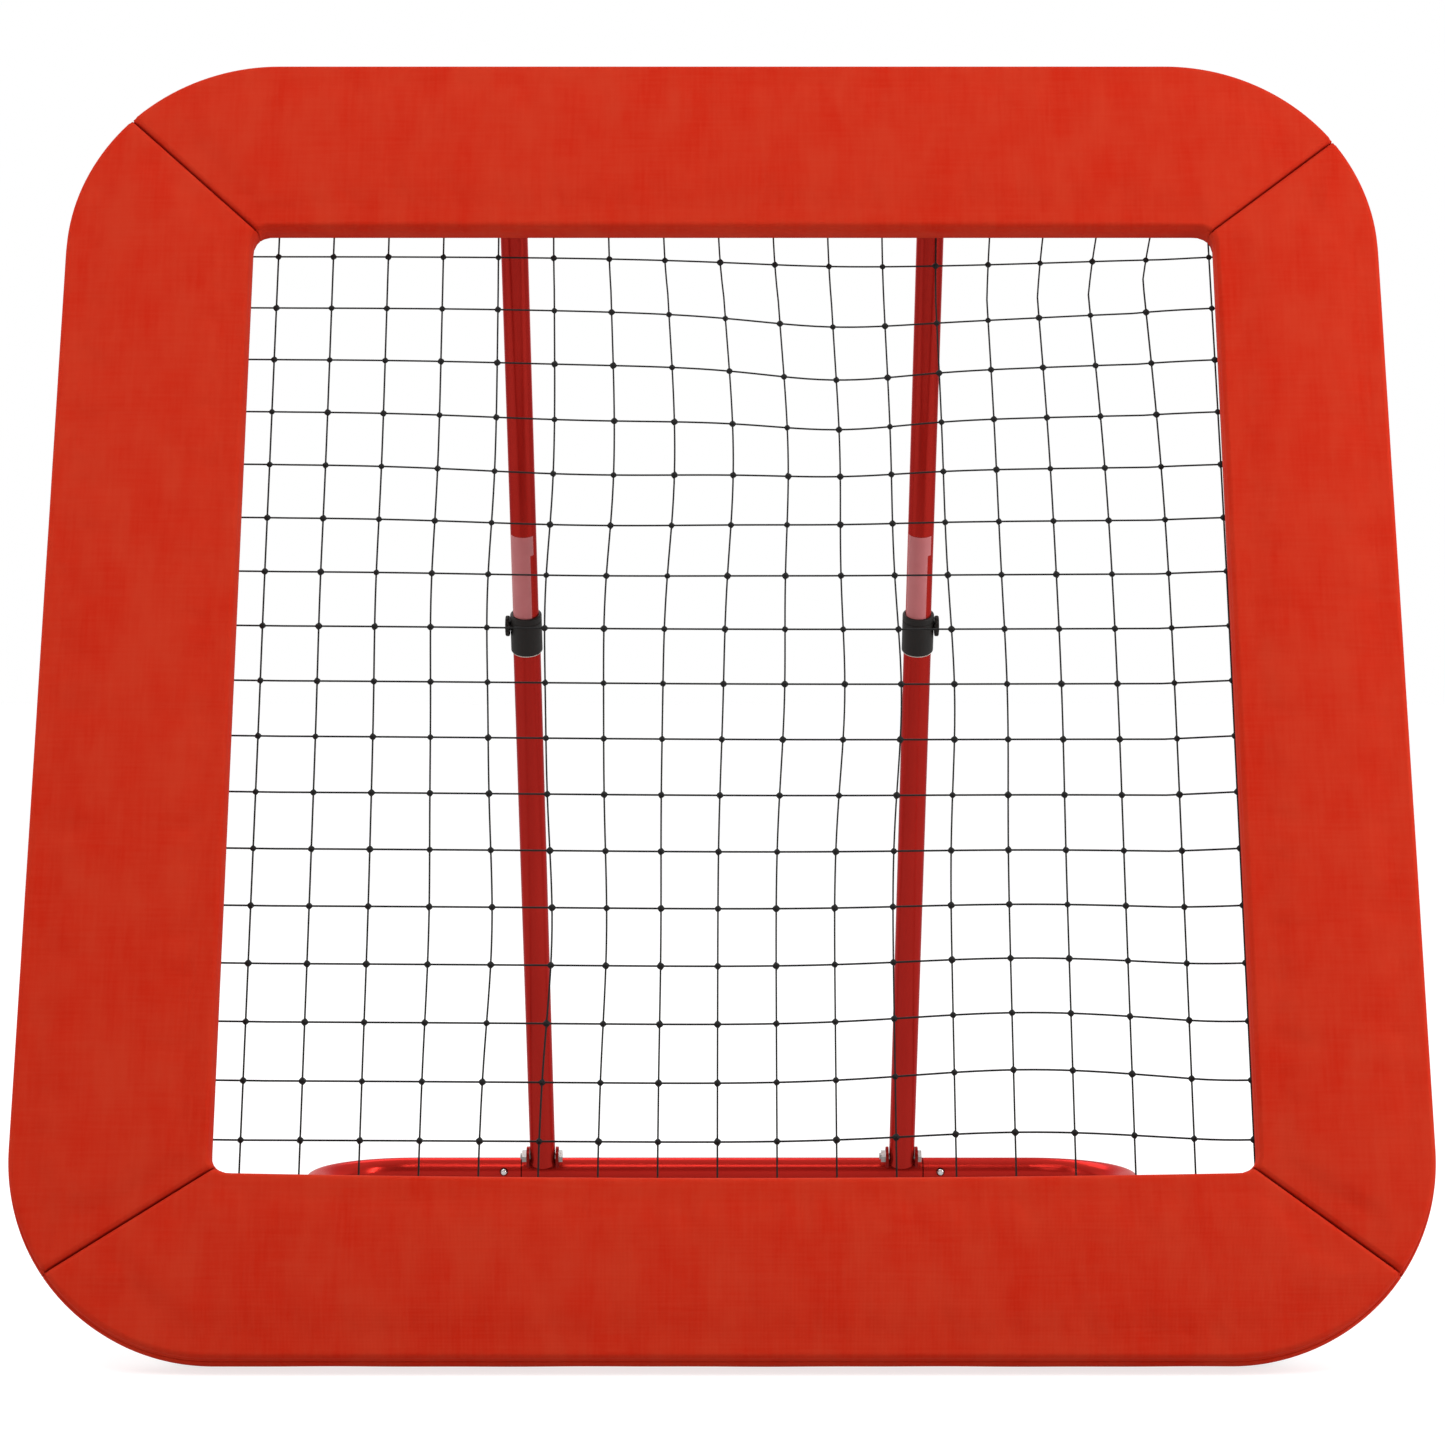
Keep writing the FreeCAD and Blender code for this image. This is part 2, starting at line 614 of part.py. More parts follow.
leg_plugs = []
leg_end_y = HINGE_Y - LEG_OVERHANG
for side_name, side in SIDES:
    tube_start = rear_point(side * BASE_JOINT_X)
    tube_corner = rear_point(side * LEG_X)
    tube_end = V(side * LEG_X, leg_end_y, BASE_Z)
    side_tube = bent_bar(tube_start, tube_corner, tube_end, BASE_BEND_R, BASE_TUBE_R)
    side_tube = side_tube.cut(bent_bar(tube_start, tube_corner, tube_end, BASE_BEND_R, BASE_BORE_R))
    bolt_low = V(side * LEG_X - 2 * BASE_TUBE_R, HINGE_Y, BASE_Z)
    bolt_high = V(side * LEG_X + 2 * BASE_TUBE_R, HINGE_Y, BASE_Z)
    side_tube = side_tube.cut([button_hole(side), rod(HINGE_HOLE_R, bolt_low, bolt_high)])
    export("base_side_tube_" + side_name, side_tube)
    plug = rod(BASE_BORE_R, tube_end, tube_end.add(V(0, LEG_PLUG_LENGTH, 0)))
    plug = plug.fuse(rod(BASE_TUBE_R, tube_end.sub(V(0, LEG_PLUG_CAP, 0)), tube_end))
    leg_plugs.append(plug.removeSplitter())
export("leg_end_plugs", Part.makeCompound(leg_plugs))

# ---------------------------------------------------------------- snap buttons and their clips

for side_name, side in SIDES:
    axis_pt = rear_point(side * BUTTON_X)
    stem = rod(BUTTON_R, axis_pt.sub(V(0, BUTTON_FLANGE_FACE, 0)), axis_pt.sub(V(0, BUTTON_TIP, 0)))
    rim = [e for e in stem.Edges if abs(e.BoundBox.YMax - e.BoundBox.YMin) < LEVEL]
    tip = min(rim, key=lambda e: e.BoundBox.YMin)
    stem = stem.makeFillet(BUTTON_DOME_R, [tip])
    flange_back = BUTTON_FLANGE_FACE - BUTTON_FLANGE_THICKNESS
    flange = rod(BUTTON_FLANGE_R, axis_pt.sub(V(0, flange_back, 0)), axis_pt.sub(V(0, BUTTON_FLANGE_FACE, 0)))
    export("snap_button_" + side_name, stem.fuse(flange).removeSplitter())

    front_y = axis_pt.y - flange_back
    back_y = axis_pt.y + CLIP_BACK
    tail_x = side * (BUTTON_X - CLIP_LENGTH)
    outer_x = side * (BUTTON_X + BUTTON_FLANGE_R)
    inner_x = tail_x + side * CLIP_GAUGE
    low_z = BASE_Z - CLIP_WIDTH / 2
    outline = [
        V(outer_x, front_y, low_z),
        V(tail_x, front_y, low_z),
        V(tail_x, back_y, low_z),
        V(outer_x, back_y, low_z),
        V(outer_x, back_y - CLIP_GAUGE, low_z),
        V(inner_x, back_y - CLIP_GAUGE, low_z),
        V(inner_x, front_y + CLIP_GAUGE, low_z),
        V(outer_x, front_y + CLIP_GAUGE, low_z),
    ]
    export("snap_clip_" + side_name, slab(outline, V(0, 0, CLIP_WIDTH)))

# ---------------------------------------------------------------- brackets


def eared_bracket(root, root_r, eye, eye_r, ears, thickness, bar, sleeve, bore):
    """Two ears on a saddle welded round a bar: the half of the sleeve on the eye's side."""
    plates = [link_plate(root, root_r, eye, eye_r, inner_x, thickness) for inner_x in ears]
    low = V(min(ears), root.y, root.z)
    width = V(max(ears) + thickness - min(ears), 0, 0)
    ahead = eye.sub(root).normalize().multiply(SADDLE_REACH)
    aside = V(0, -ahead.z, ahead.y)
    corners = [low.add(aside), low.sub(aside), low.sub(aside).add(ahead), low.add(aside).add(ahead)]
    saddle = sleeve.common(slab(corners, width))
    return plates[0].fuse([plates[1], saddle]).cut([bar, bore]).removeSplitter()


def cross_rod(radius, x_mid, half, centre):
    """A round bar along X through a joint."""
    return rod(radius, V(x_mid - half, centre.y, centre.z), V(x_mid + half, centre.y, centre.z))


def frame_bar(corner_name, radius):
    """One frame tube's outer shape, or a sleeve round it, in the row's frame."""
    return moved(bent_bar(*CORNERS[corner_name], FRAME_BEND_R, radius), FRAME_PLACE)


frame_bar_low = FRAME_PLACE.multVec(frame_point(0, TUBE_LOW))
frame_bar_high = FRAME_PLACE.multVec(frame_point(0, TUBE_HIGH))

hinge_bolts = []
hinge_nuts = []
for side_name, side in SIDES:
    x_mid = side * LEG_X
    ear_low = x_mid - HINGE_EAR_GAP / 2 - HINGE_EAR_THICKNESS
    ear_high = x_mid + HINGE_EAR_GAP / 2
    reach_x = HINGE_EAR_GAP / 2 + HINGE_EAR_THICKNESS
    bar = frame_bar("bottom_" + side_name, FRAME_TUBE_R)
    sleeve = frame_bar("bottom_" + side_name, FRAME_TUBE_R + SADDLE_WALL)
    bolt_bore = cross_rod(HINGE_HOLE_R, x_mid, 2 * reach_x, HINGE)
    bracket = eared_bracket(frame_bar_low, HINGE_EAR_ROOT_R, HINGE, HINGE_EAR_R, (ear_low, ear_high),
                            HINGE_EAR_THICKNESS, bar, sleeve, bolt_bore)
    export("hinge_bracket_" + side_name, bracket)
    head_x = x_mid + side * reach_x
    nut_x = x_mid - side * reach_x
    head_pt = V(head_x, HINGE.y, HINGE.z)
    nut_pt = V(nut_x, HINGE.y, HINGE.z)
    out = V(side, 0, 0)
    end_pt = nut_pt.sub(V(out).multiply(NUT_H + BOLT_STICKOUT))
    shank = rod(HINGE_PIN_R, end_pt, head_pt)
    hinge_bolts.append(shank.fuse(hex_bar(HEAD_R, head_pt, head_pt.add(V(out).multiply(HEAD_H)))))
    nut = hex_bar(NUT_R, nut_pt.sub(V(out).multiply(NUT_H)), nut_pt)
    hinge_nuts.append(nut.cut(rod(HINGE_PIN_R, end_pt, head_pt)))
export("hinge_bolts", Part.makeCompound(hinge_bolts))
export("hinge_nuts", Part.makeCompound(hinge_nuts))

foot_bolts = []
foot_nuts = []
rear_bar = rear_point(0)
for side_name, side in SIDES:
    x_mid = side * STRUT_X
    ear_low = x_mid - FOOT_EAR_GAP / 2 - FOOT_EAR_THICKNESS
    ear_high = x_mid + FOOT_EAR_GAP / 2
    reach_x = FOOT_EAR_GAP / 2 + FOOT_EAR_THICKNESS
    bar = cross_rod(BASE_TUBE_R, x_mid, 2 * reach_x, rear_bar)
    sleeve = cross_rod(BASE_TUBE_R + FOOT_SADDLE_WALL, x_mid, 2 * reach_x, rear_bar)
    bolt_bore = cross_rod(STRUT_HOLE_R, x_mid, 2 * reach_x, STRUT_FOOT)
    bracket = eared_bracket(rear_bar, FOOT_EAR_ROOT_R, STRUT_FOOT, FOOT_EAR_R, (ear_low, ear_high),
                            FOOT_EAR_THICKNESS, bar, sleeve, bolt_bore)
    below = V(x_mid - 2 * reach_x, REAR_Y - SADDLE_REACH, BASE_Z + FOOT_SADDLE_LOW - SADDLE_REACH)
    bracket = bracket.cut(Part.makeBox(4 * reach_x, 2 * SADDLE_REACH, SADDLE_REACH, below))
    export("strut_foot_bracket_" + side_name, bracket)
    head_pt = V(x_mid + reach_x, STRUT_FOOT.y, STRUT_FOOT.z)
    nut_pt = V(x_mid - reach_x, STRUT_FOOT.y, STRUT_FOOT.z)
    end_pt = nut_pt.sub(V(NUT_H + BOLT_STICKOUT, 0, 0))
    shank = rod(STRUT_PIN_R, end_pt, head_pt)
    foot_bolts.append(shank.fuse(hex_bar(HEAD_R, head_pt, head_pt.add(V(HEAD_H, 0, 0)))))
    nut = hex_bar(NUT_R, nut_pt.sub(V(NUT_H, 0, 0)), nut_pt)
    foot_nuts.append(nut.cut(rod(STRUT_PIN_R, end_pt, head_pt)))
export("strut_foot_bolts", Part.makeCompound(foot_bolts))
export("strut_foot_nuts", Part.makeCompound(foot_nuts))

slot_end = FRAME_PLACE.multVec(face_point(0, STRUT_HEAD_S + SLOT_RUN_S, STRUT_HEAD_D + SLOT_RUN_D))
for side_name, side in SIDES:
    x_mid = side * STRUT_X
    ear_low = x_mid - HEAD_EAR_GAP / 2 - HEAD_EAR_THICKNESS
    ear_high = x_mid + HEAD_EAR_GAP / 2
    far = HEAD_EAR_GAP
    middle = STRUT_HEAD.add(slot_end).multiply(0.5)
    slot = link_plate(STRUT_HEAD, SLOT_R, slot_end, SLOT_R, x_mid - far, 2 * far)
    bar = frame_bar("top_" + side_name, FRAME_TUBE_R)
    sleeve = frame_bar("top_" + side_name, FRAME_TUBE_R + SADDLE_WALL)
    bracket = eared_bracket(frame_bar_high, HINGE_EAR_ROOT_R, middle, HEAD_EAR_R, (ear_low, ear_high),
                            HEAD_EAR_THICKNESS, bar, sleeve, slot)
    export("strut_top_bracket_" + side_name, bracket)

# ---------------------------------------------------------------- struts

LOWER_BORE_R = LOWER_R - LOWER_WALL
UPPER_BORE_R = UPPER_R - UPPER_WALL
LABEL_R = UPPER_R + LABEL_THICKNESS


def up(z):
    """A point up the strut's own axis."""
    return V(0, 0, z)


def cross_bore(radius, z):
    """A hole through the strut along X."""
    return rod(radius, V(-2 * LOWER_R, 0, z), V(2 * LOWER_R, 0, z))


def collar_shape(side):
    """A moulded collar, clamped on the lower tube's mouth, with a tapped hole for the clamp screw."""
    body = rod(COLLAR_R, up(COLLAR_LOW), up(COLLAR_HIGH))
    rims = [e for e in body.Edges if e.BoundBox.ZMax - e.BoundBox.ZMin < LEVEL]
    body = body.makeFillet(COLLAR_EDGE_R, rims)
    body = body.cut(rod(LOWER_R, up(COLLAR_LOW), up(LOWER_LENGTH)))
    body = body.cut(rod(BUSH_FLANGE_R, up(LOWER_LENGTH), up(COLLAR_HIGH - COLLAR_LIP)))
    body = body.cut(rod(BUSH_BORE_R, up(LOWER_LENGTH), up(COLLAR_HIGH + 1.0)))
    groove_top = up(COLLAR_HIGH - COLLAR_GROOVE_DROP)
    groove_low = groove_top.sub(up(COLLAR_GROOVE_WIDTH))
    body = body.cut(tube(2 * COLLAR_R, COLLAR_R - COLLAR_GROOVE_DEPTH, groove_low, groove_top))
    return body.cut(rod(SCREW_HOLE_R, up(KNOB_Z), V(side * 2 * COLLAR_R, 0, KNOB_Z)))


def knob_shape(side):
    """A fluted round knob on a clamp screw that points at the inner tube."""
    def out(distance):
        return V(side * distance, 0, KNOB_Z)

    grip = rod(KNOB_R, out(COLLAR_R + KNOB_NECK_GAP), out(COLLAR_R + KNOB_NECK_GAP + KNOB_H))
    rims = [e for e in grip.Edges if e.BoundBox.XMax - e.BoundBox.XMin < LEVEL]
    grip = grip.makeFillet(KNOB_EDGE_R, rims)
    flutes = []
    for step in range(KNOB_FLUTES):
        angle = 2 * math.pi * step / KNOB_FLUTES
        ring_r = KNOB_R + KNOB_FLUTE_R - KNOB_FLUTE_INSET
        centre = V(0, ring_r * math.cos(angle), ring_r * math.sin(angle))
        flutes.append(rod(KNOB_FLUTE_R, out(COLLAR_R).add(centre), out(COLLAR_R + 2 * KNOB_H).add(centre)))
    grip = grip.cut(flutes)
    neck = rod(KNOB_NECK_R, out(COLLAR_R + KNOB_NECK_START), out(COLLAR_R + KNOB_NECK_GAP))
    screw = rod(SCREW_R, out(SCREW_TIP), out(COLLAR_R + KNOB_NECK_GAP))
    return grip.fuse([neck, screw]).removeSplitter()


def label_shape():
    """A thin label wrapped on the front of the inner tube, with a step down one edge."""
    sleeve = tube(LABEL_R, UPPER_R, up(LABEL_LOW), up(LABEL_HIGH))
    far = 3 * LABEL_R

    def wedge(start_deg, stop_deg, low, high):
        points = [up(low)]
        for part in range(WEDGE_POINTS):
            angle = math.radians(start_deg + (stop_deg - start_deg) * part / (WEDGE_POINTS - 1))
            points.append(V(far * math.sin(angle), -far * math.cos(angle), low))
        return slab(points, up(high - low))

    main = sleeve.common(wedge(LABEL_START_DEG, LABEL_STOP_DEG, LABEL_STEP_Z, LABEL_HIGH))
    narrow = sleeve.common(wedge(LABEL_START_DEG, LABEL_STOP_DEG - LABEL_STEP_DEG, LABEL_LOW, LABEL_STEP_Z))
    return main.fuse(narrow).removeSplitter()


lower_tube = tube(LOWER_R, LOWER_BORE_R, up(-LOWER_OVERHANG), up(LOWER_LENGTH))
lower_tube = lower_tube.cut(cross_bore(STRUT_HOLE_R, 0))
bush = tube(BUSH_FLANGE_R, BUSH_BORE_R, up(LOWER_LENGTH), up(COLLAR_HIGH - COLLAR_LIP))
lip = tube(BUSH_LIP_R, LOWER_R, up(BUSH_LIP_LOW), up(COLLAR_LOW))
upper_end = STRUT_LENGTH + UPPER_OVERHANG
upper_tube = tube(UPPER_R, UPPER_BORE_R, up(UPPER_START), up(upper_end))
upper_tube = upper_tube.cut(cross_bore(STRUT_HOLE_R, STRUT_LENGTH))
guide = rod(GUIDE_R, up(UPPER_START - GUIDE_CAP), up(UPPER_START))
guide = guide.fuse(rod(UPPER_BORE_R, up(UPPER_START), up(UPPER_START + GUIDE_LENGTH))).removeSplitter()
top_plug = rod(UPPER_BORE_R, up(upper_end - TOP_PLUG_LENGTH), up(upper_end))
top_plug = top_plug.fuse(rod(UPPER_R, up(upper_end), up(upper_end + TOP_PLUG_CAP))).removeSplitter()
top_plug = top_plug.cut(cross_bore(STRUT_HOLE_R, STRUT_LENGTH))
pivot_reach = HEAD_EAR_GAP / 2 + HEAD_EAR_THICKNESS + WASHER_GAP

for side_name, side in SIDES:
    spot = strut_place(side)
    screw_way = rod(SCREW_WAY_R, up(KNOB_Z), V(side * 2 * COLLAR_R, 0, KNOB_Z))
    export("strut_lower_tube_" + side_name, moved(lower_tube.cut(screw_way), spot))
    export("strut_collar_" + side_name, moved(collar_shape(side), spot))
    export("strut_bush_" + side_name, moved(Part.makeCompound([bush, lip]), spot))
    export("clamp_knob_" + side_name, moved(knob_shape(side), spot))
    export("strut_upper_tube_" + side_name, moved(upper_tube, spot))
    export("strut_label_" + side_name, moved(label_shape(), spot))
    export("strut_guide_plug_" + side_name, moved(guide, spot))
    export("strut_top_plug_" + side_name, moved(top_plug, spot))
    head_pt = V(pivot_reach, 0, STRUT_LENGTH)
    nut_pt = V(-pivot_reach, 0, STRUT_LENGTH)
    pivot = rod(STRUT_PIN_R, nut_pt.sub(V(NUT_H + BOLT_STICKOUT, 0, 0)), head_pt)
    pivot = pivot.fuse(rod(WASHER_R, head_pt, head_pt.add(V(WASHER_H, 0, 0))))
    pivot = pivot.fuse(rod(WASHER_R, nut_pt.sub(V(WASHER_H, 0, 0)), nut_pt))
    head_start = head_pt.add(V(WASHER_H, 0, 0))
    nut_start = nut_pt.sub(V(WASHER_H, 0, 0))
    pivot = pivot.fuse(hex_bar(HEAD_R, head_start, head_start.add(V(HEAD_H, 0, 0))))
    pivot = pivot.fuse(hex_bar(NUT_R, nut_start.sub(V(NUT_H - WASHER_H, 0, 0)), nut_start))
    export("strut_pivot_bolt_" + side_name, moved(pivot.removeSplitter(), spot))

# ---------------------------------------------------------------- feet under the legs


def foot_pads(y_mid):
    """A pair of clip-on feet with flat soles, one under each leg."""
    feet = []
    for _, side in SIDES:
        low = V(side * LEG_X - FOOT_HALF_WIDTH, y_mid - FOOT_LENGTH / 2, 0)
        block = Part.makeBox(2 * FOOT_HALF_WIDTH, FOOT_LENGTH, FOOT_TOP, low)
        uprights = [e for e in block.Edges if abs(e.tangentAt(e.FirstParameter).z) > UPRIGHT]
        block = block.makeFillet(FOOT_CORNER_R, uprights)
        line = V(0, FOOT_LENGTH, 0)
        middle = V(side * LEG_X, y_mid, BASE_Z)
        feet.append(block.cut(rod(BASE_TUBE_R + FOOT_CLEARANCE, middle.sub(line), middle.add(line))))
    return Part.makeCompound(feet)


export("rear_foot_pads", foot_pads(REAR_FOOT_Y))
export("front_foot_pads", foot_pads(FRONT_FOOT_Y))
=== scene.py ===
import json
import math

import bmesh
import bpy
import numpy as np
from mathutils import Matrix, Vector


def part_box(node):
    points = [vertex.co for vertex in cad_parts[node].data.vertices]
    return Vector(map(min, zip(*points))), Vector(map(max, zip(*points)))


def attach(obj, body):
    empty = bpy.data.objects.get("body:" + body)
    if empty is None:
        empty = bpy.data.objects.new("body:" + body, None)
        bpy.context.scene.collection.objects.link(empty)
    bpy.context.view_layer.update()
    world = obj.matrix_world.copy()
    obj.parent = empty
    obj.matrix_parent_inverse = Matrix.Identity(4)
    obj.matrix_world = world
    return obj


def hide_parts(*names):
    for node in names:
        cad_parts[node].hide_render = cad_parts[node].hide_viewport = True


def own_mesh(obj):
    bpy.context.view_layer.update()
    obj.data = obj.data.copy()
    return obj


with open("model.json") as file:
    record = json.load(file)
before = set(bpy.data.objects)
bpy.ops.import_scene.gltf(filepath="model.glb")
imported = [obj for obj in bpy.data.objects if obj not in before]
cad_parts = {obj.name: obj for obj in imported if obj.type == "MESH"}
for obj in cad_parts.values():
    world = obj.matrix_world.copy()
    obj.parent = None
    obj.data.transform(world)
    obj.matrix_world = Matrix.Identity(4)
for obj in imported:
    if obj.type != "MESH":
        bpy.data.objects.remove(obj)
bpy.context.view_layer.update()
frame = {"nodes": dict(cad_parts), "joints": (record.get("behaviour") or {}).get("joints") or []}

nodes = frame["nodes"]
joints = {joint["name"]: joint for joint in frame["joints"]}

# Camera: stands in front of the net at the height of its middle, about 2.7 metres from the
# middle of the base, and looks almost level with a long lens.
camera_data = bpy.data.cameras.new("camera")
camera_data.lens = 86.3
camera_data.sensor_width = 36.0
camera = bpy.data.objects.new("camera", camera_data)
camera.location = (0.0003, -2.6932, 0.4766)
camera.rotation_euler = (math.radians(88.87), 0.0, 0.0)
bpy.context.scene.collection.objects.link(camera)
bpy.context.scene.camera = camera

# Floor: a wide pale studio floor, lit from below like a light table. Its top is just under
# the soles of the feet.
FLOOR_HALF, FLOOR_Z = 30.0, -0.0002
floor_mesh = bpy.data.meshes.new("floor")
floor_corners = ((-1, -1), (1, -1), (1, 1), (-1, 1))
floor_mesh.from_pydata([(FLOOR_HALF * x, FLOOR_HALF * y, FLOOR_Z) for x, y in floor_corners],
                       [], [(0, 1, 2, 3)])
floor = bpy.data.objects.new("floor", floor_mesh)
bpy.context.scene.collection.objects.link(floor)


def new_material(name):
    """An empty material: its node tree and its Principled shader."""
    material = bpy.data.materials.new(name)
    material.use_nodes = True
    tree = material.node_tree
    return material, tree, tree.nodes["Principled BSDF"]


def set_sockets(node, **values):
    """Set plain values on a node's inputs; an underscore in a name stands for a space."""
    for name, value in values.items():
        node.inputs[name.replace("_", " ")].default_value = value
    return node


def put(tree, socket, value):
    """Link an input to another node's output, or set it to a plain value."""
    if isinstance(value, bpy.types.NodeSocket):
        tree.links.new(value, socket)
    else:
        socket.default_value = value


def add(tree, kind, **inputs):
    """Add a node, and set or link the inputs that are named."""
    node = tree.nodes.new(kind)
    for name, value in inputs.items():
        put(tree, node.inputs[name.replace("_", " ")], value)
    return node


floor_material, floor_tree, floor_shader = new_material("studio_floor")
set_sockets(floor_shader, Base_Color=(0.40, 0.40, 0.40, 1.0), Roughness=0.7, Specular_IOR_Level=0.1,
            Emission_Color=(1.0, 1.0, 1.0, 1.0))
floor_eye = floor_tree.nodes.new("ShaderNodeLightPath")
floor_glow = add(floor_tree, "ShaderNodeMapRange", Value=floor_eye.outputs["Is Camera Ray"],
                 To_Min=0.25, To_Max=0.75)
floor_tree.links.new(floor_glow.outputs["Result"], floor_shader.inputs["Emission Strength"])
floor_noise = add(floor_tree, "ShaderNodeTexNoise", Scale=40.0, Detail=6.0)
floor_bump = add(floor_tree, "ShaderNodeBump", Strength=0.05, Distance=0.001, Height=floor_noise.outputs["Fac"])
floor_tree.links.new(floor_bump.outputs["Normal"], floor_shader.inputs["Normal"])
floor_mesh.materials.append(floor_material)

# Studio light: a white surround that is brightest at the horizon and overhead, a broad
# lamp above the camera and two tall strips that draw lines down the round tubes.
world = bpy.data.worlds.new("studio")
world.use_nodes = True
bpy.context.scene.world = world
sky = world.node_tree
sky_way = sky.nodes.new("ShaderNodeTexCoord")
sky_split = add(sky, "ShaderNodeSeparateXYZ", Vector=sky_way.outputs["Generated"])
sky_ramp = sky.nodes.new("ShaderNodeValToRGB")
sky.links.new(sky_split.outputs["Z"], sky_ramp.inputs["Fac"])
stops = sky_ramp.color_ramp.elements
stops[0].position, stops[0].color = 0.0, (1.0, 1.0, 1.0, 1.0)
stops[1].position, stops[1].color = 1.0, (0.9, 0.9, 0.9, 1.0)
for place, grey in ((0.25, 1.0), (0.5, 0.72)):
    stop = stops.new(place)
    stop.color = (grey, grey, grey, 1.0)
sky_front = add(sky, "ShaderNodeMapRange", Value=sky_split.outputs["Y"],
                From_Min=-0.9, From_Max=0.4, To_Min=0.14)
sky.links.new(sky_ramp.outputs["Color"], sky.nodes["Background"].inputs["Color"])
sky.links.new(sky_front.outputs["Result"], sky.nodes["Background"].inputs["Strength"])
bpy.context.scene.view_settings.view_transform = "Standard"


def soft_light(name, place, target, width, height, power):
    """A flat studio lamp that faces its target."""
    lamp = bpy.data.lights.new(name, "AREA")
    lamp.shape = "RECTANGLE"
    lamp.size = width
    lamp.size_y = height
    lamp.energy = power
    holder = bpy.data.objects.new(name, lamp)
    holder.location = place
    aim = Vector(target) - Vector(place)
    holder.rotation_euler = aim.to_track_quat("-Z", "Y").to_euler()
    bpy.context.scene.collection.objects.link(holder)


MIDDLE = (0.0, 0.0, 0.45)
soft_light("key_lamp", (-0.7, -1.7, 3.0), MIDDLE, 2.4, 1.4, 37.5)
soft_light("fill_lamp", (-1.4, -3.2, 1.8), MIDDLE, 1.6, 1.6, 10.0)
soft_light("strip_right", (1.9, -0.9, 1.2), MIDDLE, 0.2, 2.2, 24.0)
soft_light("strip_left", (-1.9, -0.6, 1.2), MIDDLE, 0.25, 2.2, 5.0)
soft_light("back_lamp", (-0.8, 2.6, 2.6), MIDDLE, 2.2, 1.4, 26.0)

# Painted steel: base tubes, frame tubes, struts and their brackets. Steel tube with a
# glossy red stove enamel: a faint orange peel, slow shade changes and a little dust.


def new_group(name, inputs, outputs):
    """A shader node group with named float or colour sockets."""
    group = bpy.data.node_groups.new(name, "ShaderNodeTree")
    for socket, kind, value in inputs:
        item = group.interface.new_socket(socket, in_out="INPUT", socket_type=kind)
        item.default_value = value
    for socket, kind in outputs:
        group.interface.new_socket(socket, in_out="OUTPUT", socket_type=kind)
    return group, group.nodes.new("NodeGroupInput"), group.nodes.new("NodeGroupOutput")


def place_group(tree, group, **inputs):
    """Put a group in a material with its own values."""
    node = tree.nodes.new("ShaderNodeGroup")
    node.node_tree = group
    for name, value in inputs.items():
        put(tree, node.inputs[name.replace("_", " ")], value)
    return node


def mix_colour(tree, factor, first, second):
    """Mix two colours; each is a socket or a plain colour."""
    node = tree.nodes.new("ShaderNodeMix")
    node.data_type = "RGBA"
    for socket, value in ((node.inputs[0], factor), (node.inputs[6], first), (node.inputs[7], second)):
        put(tree, socket, value)
    return node.outputs[2]


def scaled(tree, value, low, high):
    """Carry a 0 to 1 value into a range."""
    return add(tree, "ShaderNodeMapRange", Value=value, To_Min=low, To_Max=high).outputs["Result"]


def noise(tree, scale, detail):
    """Noise from 0 to 1 in the object's own space."""
    way = tree.nodes.new("ShaderNodeTexCoord").outputs["Object"]
    return add(tree, "ShaderNodeTexNoise", Vector=way, Scale=scale, Detail=detail).outputs["Fac"]


def emboss(tree, shader, height, strength, distance):
    """Raise the surface by a height."""
    bump = add(tree, "ShaderNodeBump", Strength=strength, Distance=distance, Height=height)
    tree.links.new(bump.outputs["Normal"], shader.inputs["Normal"])


FLOAT = "NodeSocketFloat"
enamel, enamel_in, enamel_out = new_group(
    "enamel_skin", [("Peel Size", FLOAT, 260.0), ("Cloud Size", FLOAT, 9.0)],
    [("Peel", FLOAT), ("Cloud", FLOAT), ("Speck", FLOAT)])
enamel_way = enamel.nodes.new("ShaderNodeTexCoord")
speck = add(enamel, "ShaderNodeTexVoronoi", Vector=enamel_way.outputs["Object"], Scale=900.0)
speck_mask = add(enamel, "ShaderNodeMapRange", Value=speck.outputs["Distance"],
                 From_Max=0.12, To_Min=1.0, To_Max=0.0)
enamel.links.new(noise(enamel, enamel_in.outputs["Peel Size"], 2.0), enamel_out.inputs["Peel"])
enamel.links.new(noise(enamel, enamel_in.outputs["Cloud Size"], 4.0), enamel_out.inputs["Cloud"])
enamel.links.new(speck_mask.outputs["Result"], enamel_out.inputs["Speck"])


def enamel_material(name, deep, bright, roughness, shade_lines=None):
    """Glossy red enamel between two shades, with painted shade lines where a mask says so."""
    material, tree, shader = new_material(name)
    skin = place_group(tree, enamel)
    colour = mix_colour(tree, skin.outputs["Cloud"], deep, bright)
    colour = mix_colour(tree, scaled(tree, skin.outputs["Speck"], 0.0, 0.18), colour, (0.25, 0.02, 0.015, 1.0))
    # Painted shade: the enamel goes near black along the mask's joint and button-hole lines.
    if shade_lines:
        colour = mix_colour(tree, place_group(tree, shade_lines).outputs["Painted Shade"], colour, (0.03, 0.003, 0.002, 1.0))
    tree.links.new(colour, shader.inputs["Base Color"])
    tree.links.new(scaled(tree, skin.outputs["Cloud"], roughness, roughness + 0.08), shader.inputs["Roughness"])
    emboss(tree, shader, skin.outputs["Peel"], 0.10, 0.0004)
    set_sockets(shader, Metallic=0.6, Specular_IOR_Level=0.15, Specular_Tint=(0.8, 0.12, 0.10, 1.0),
                Coat_Weight=0.02, Coat_Roughness=0.1)
    return material


def combine(tree, operation, *values):
    """A maths node on sockets or values."""
    node = tree.nodes.new("ShaderNodeMath")
    node.operation = operation
    for socket, value in zip(node.inputs, values):
        put(tree, socket, value)
    return node.outputs[0]
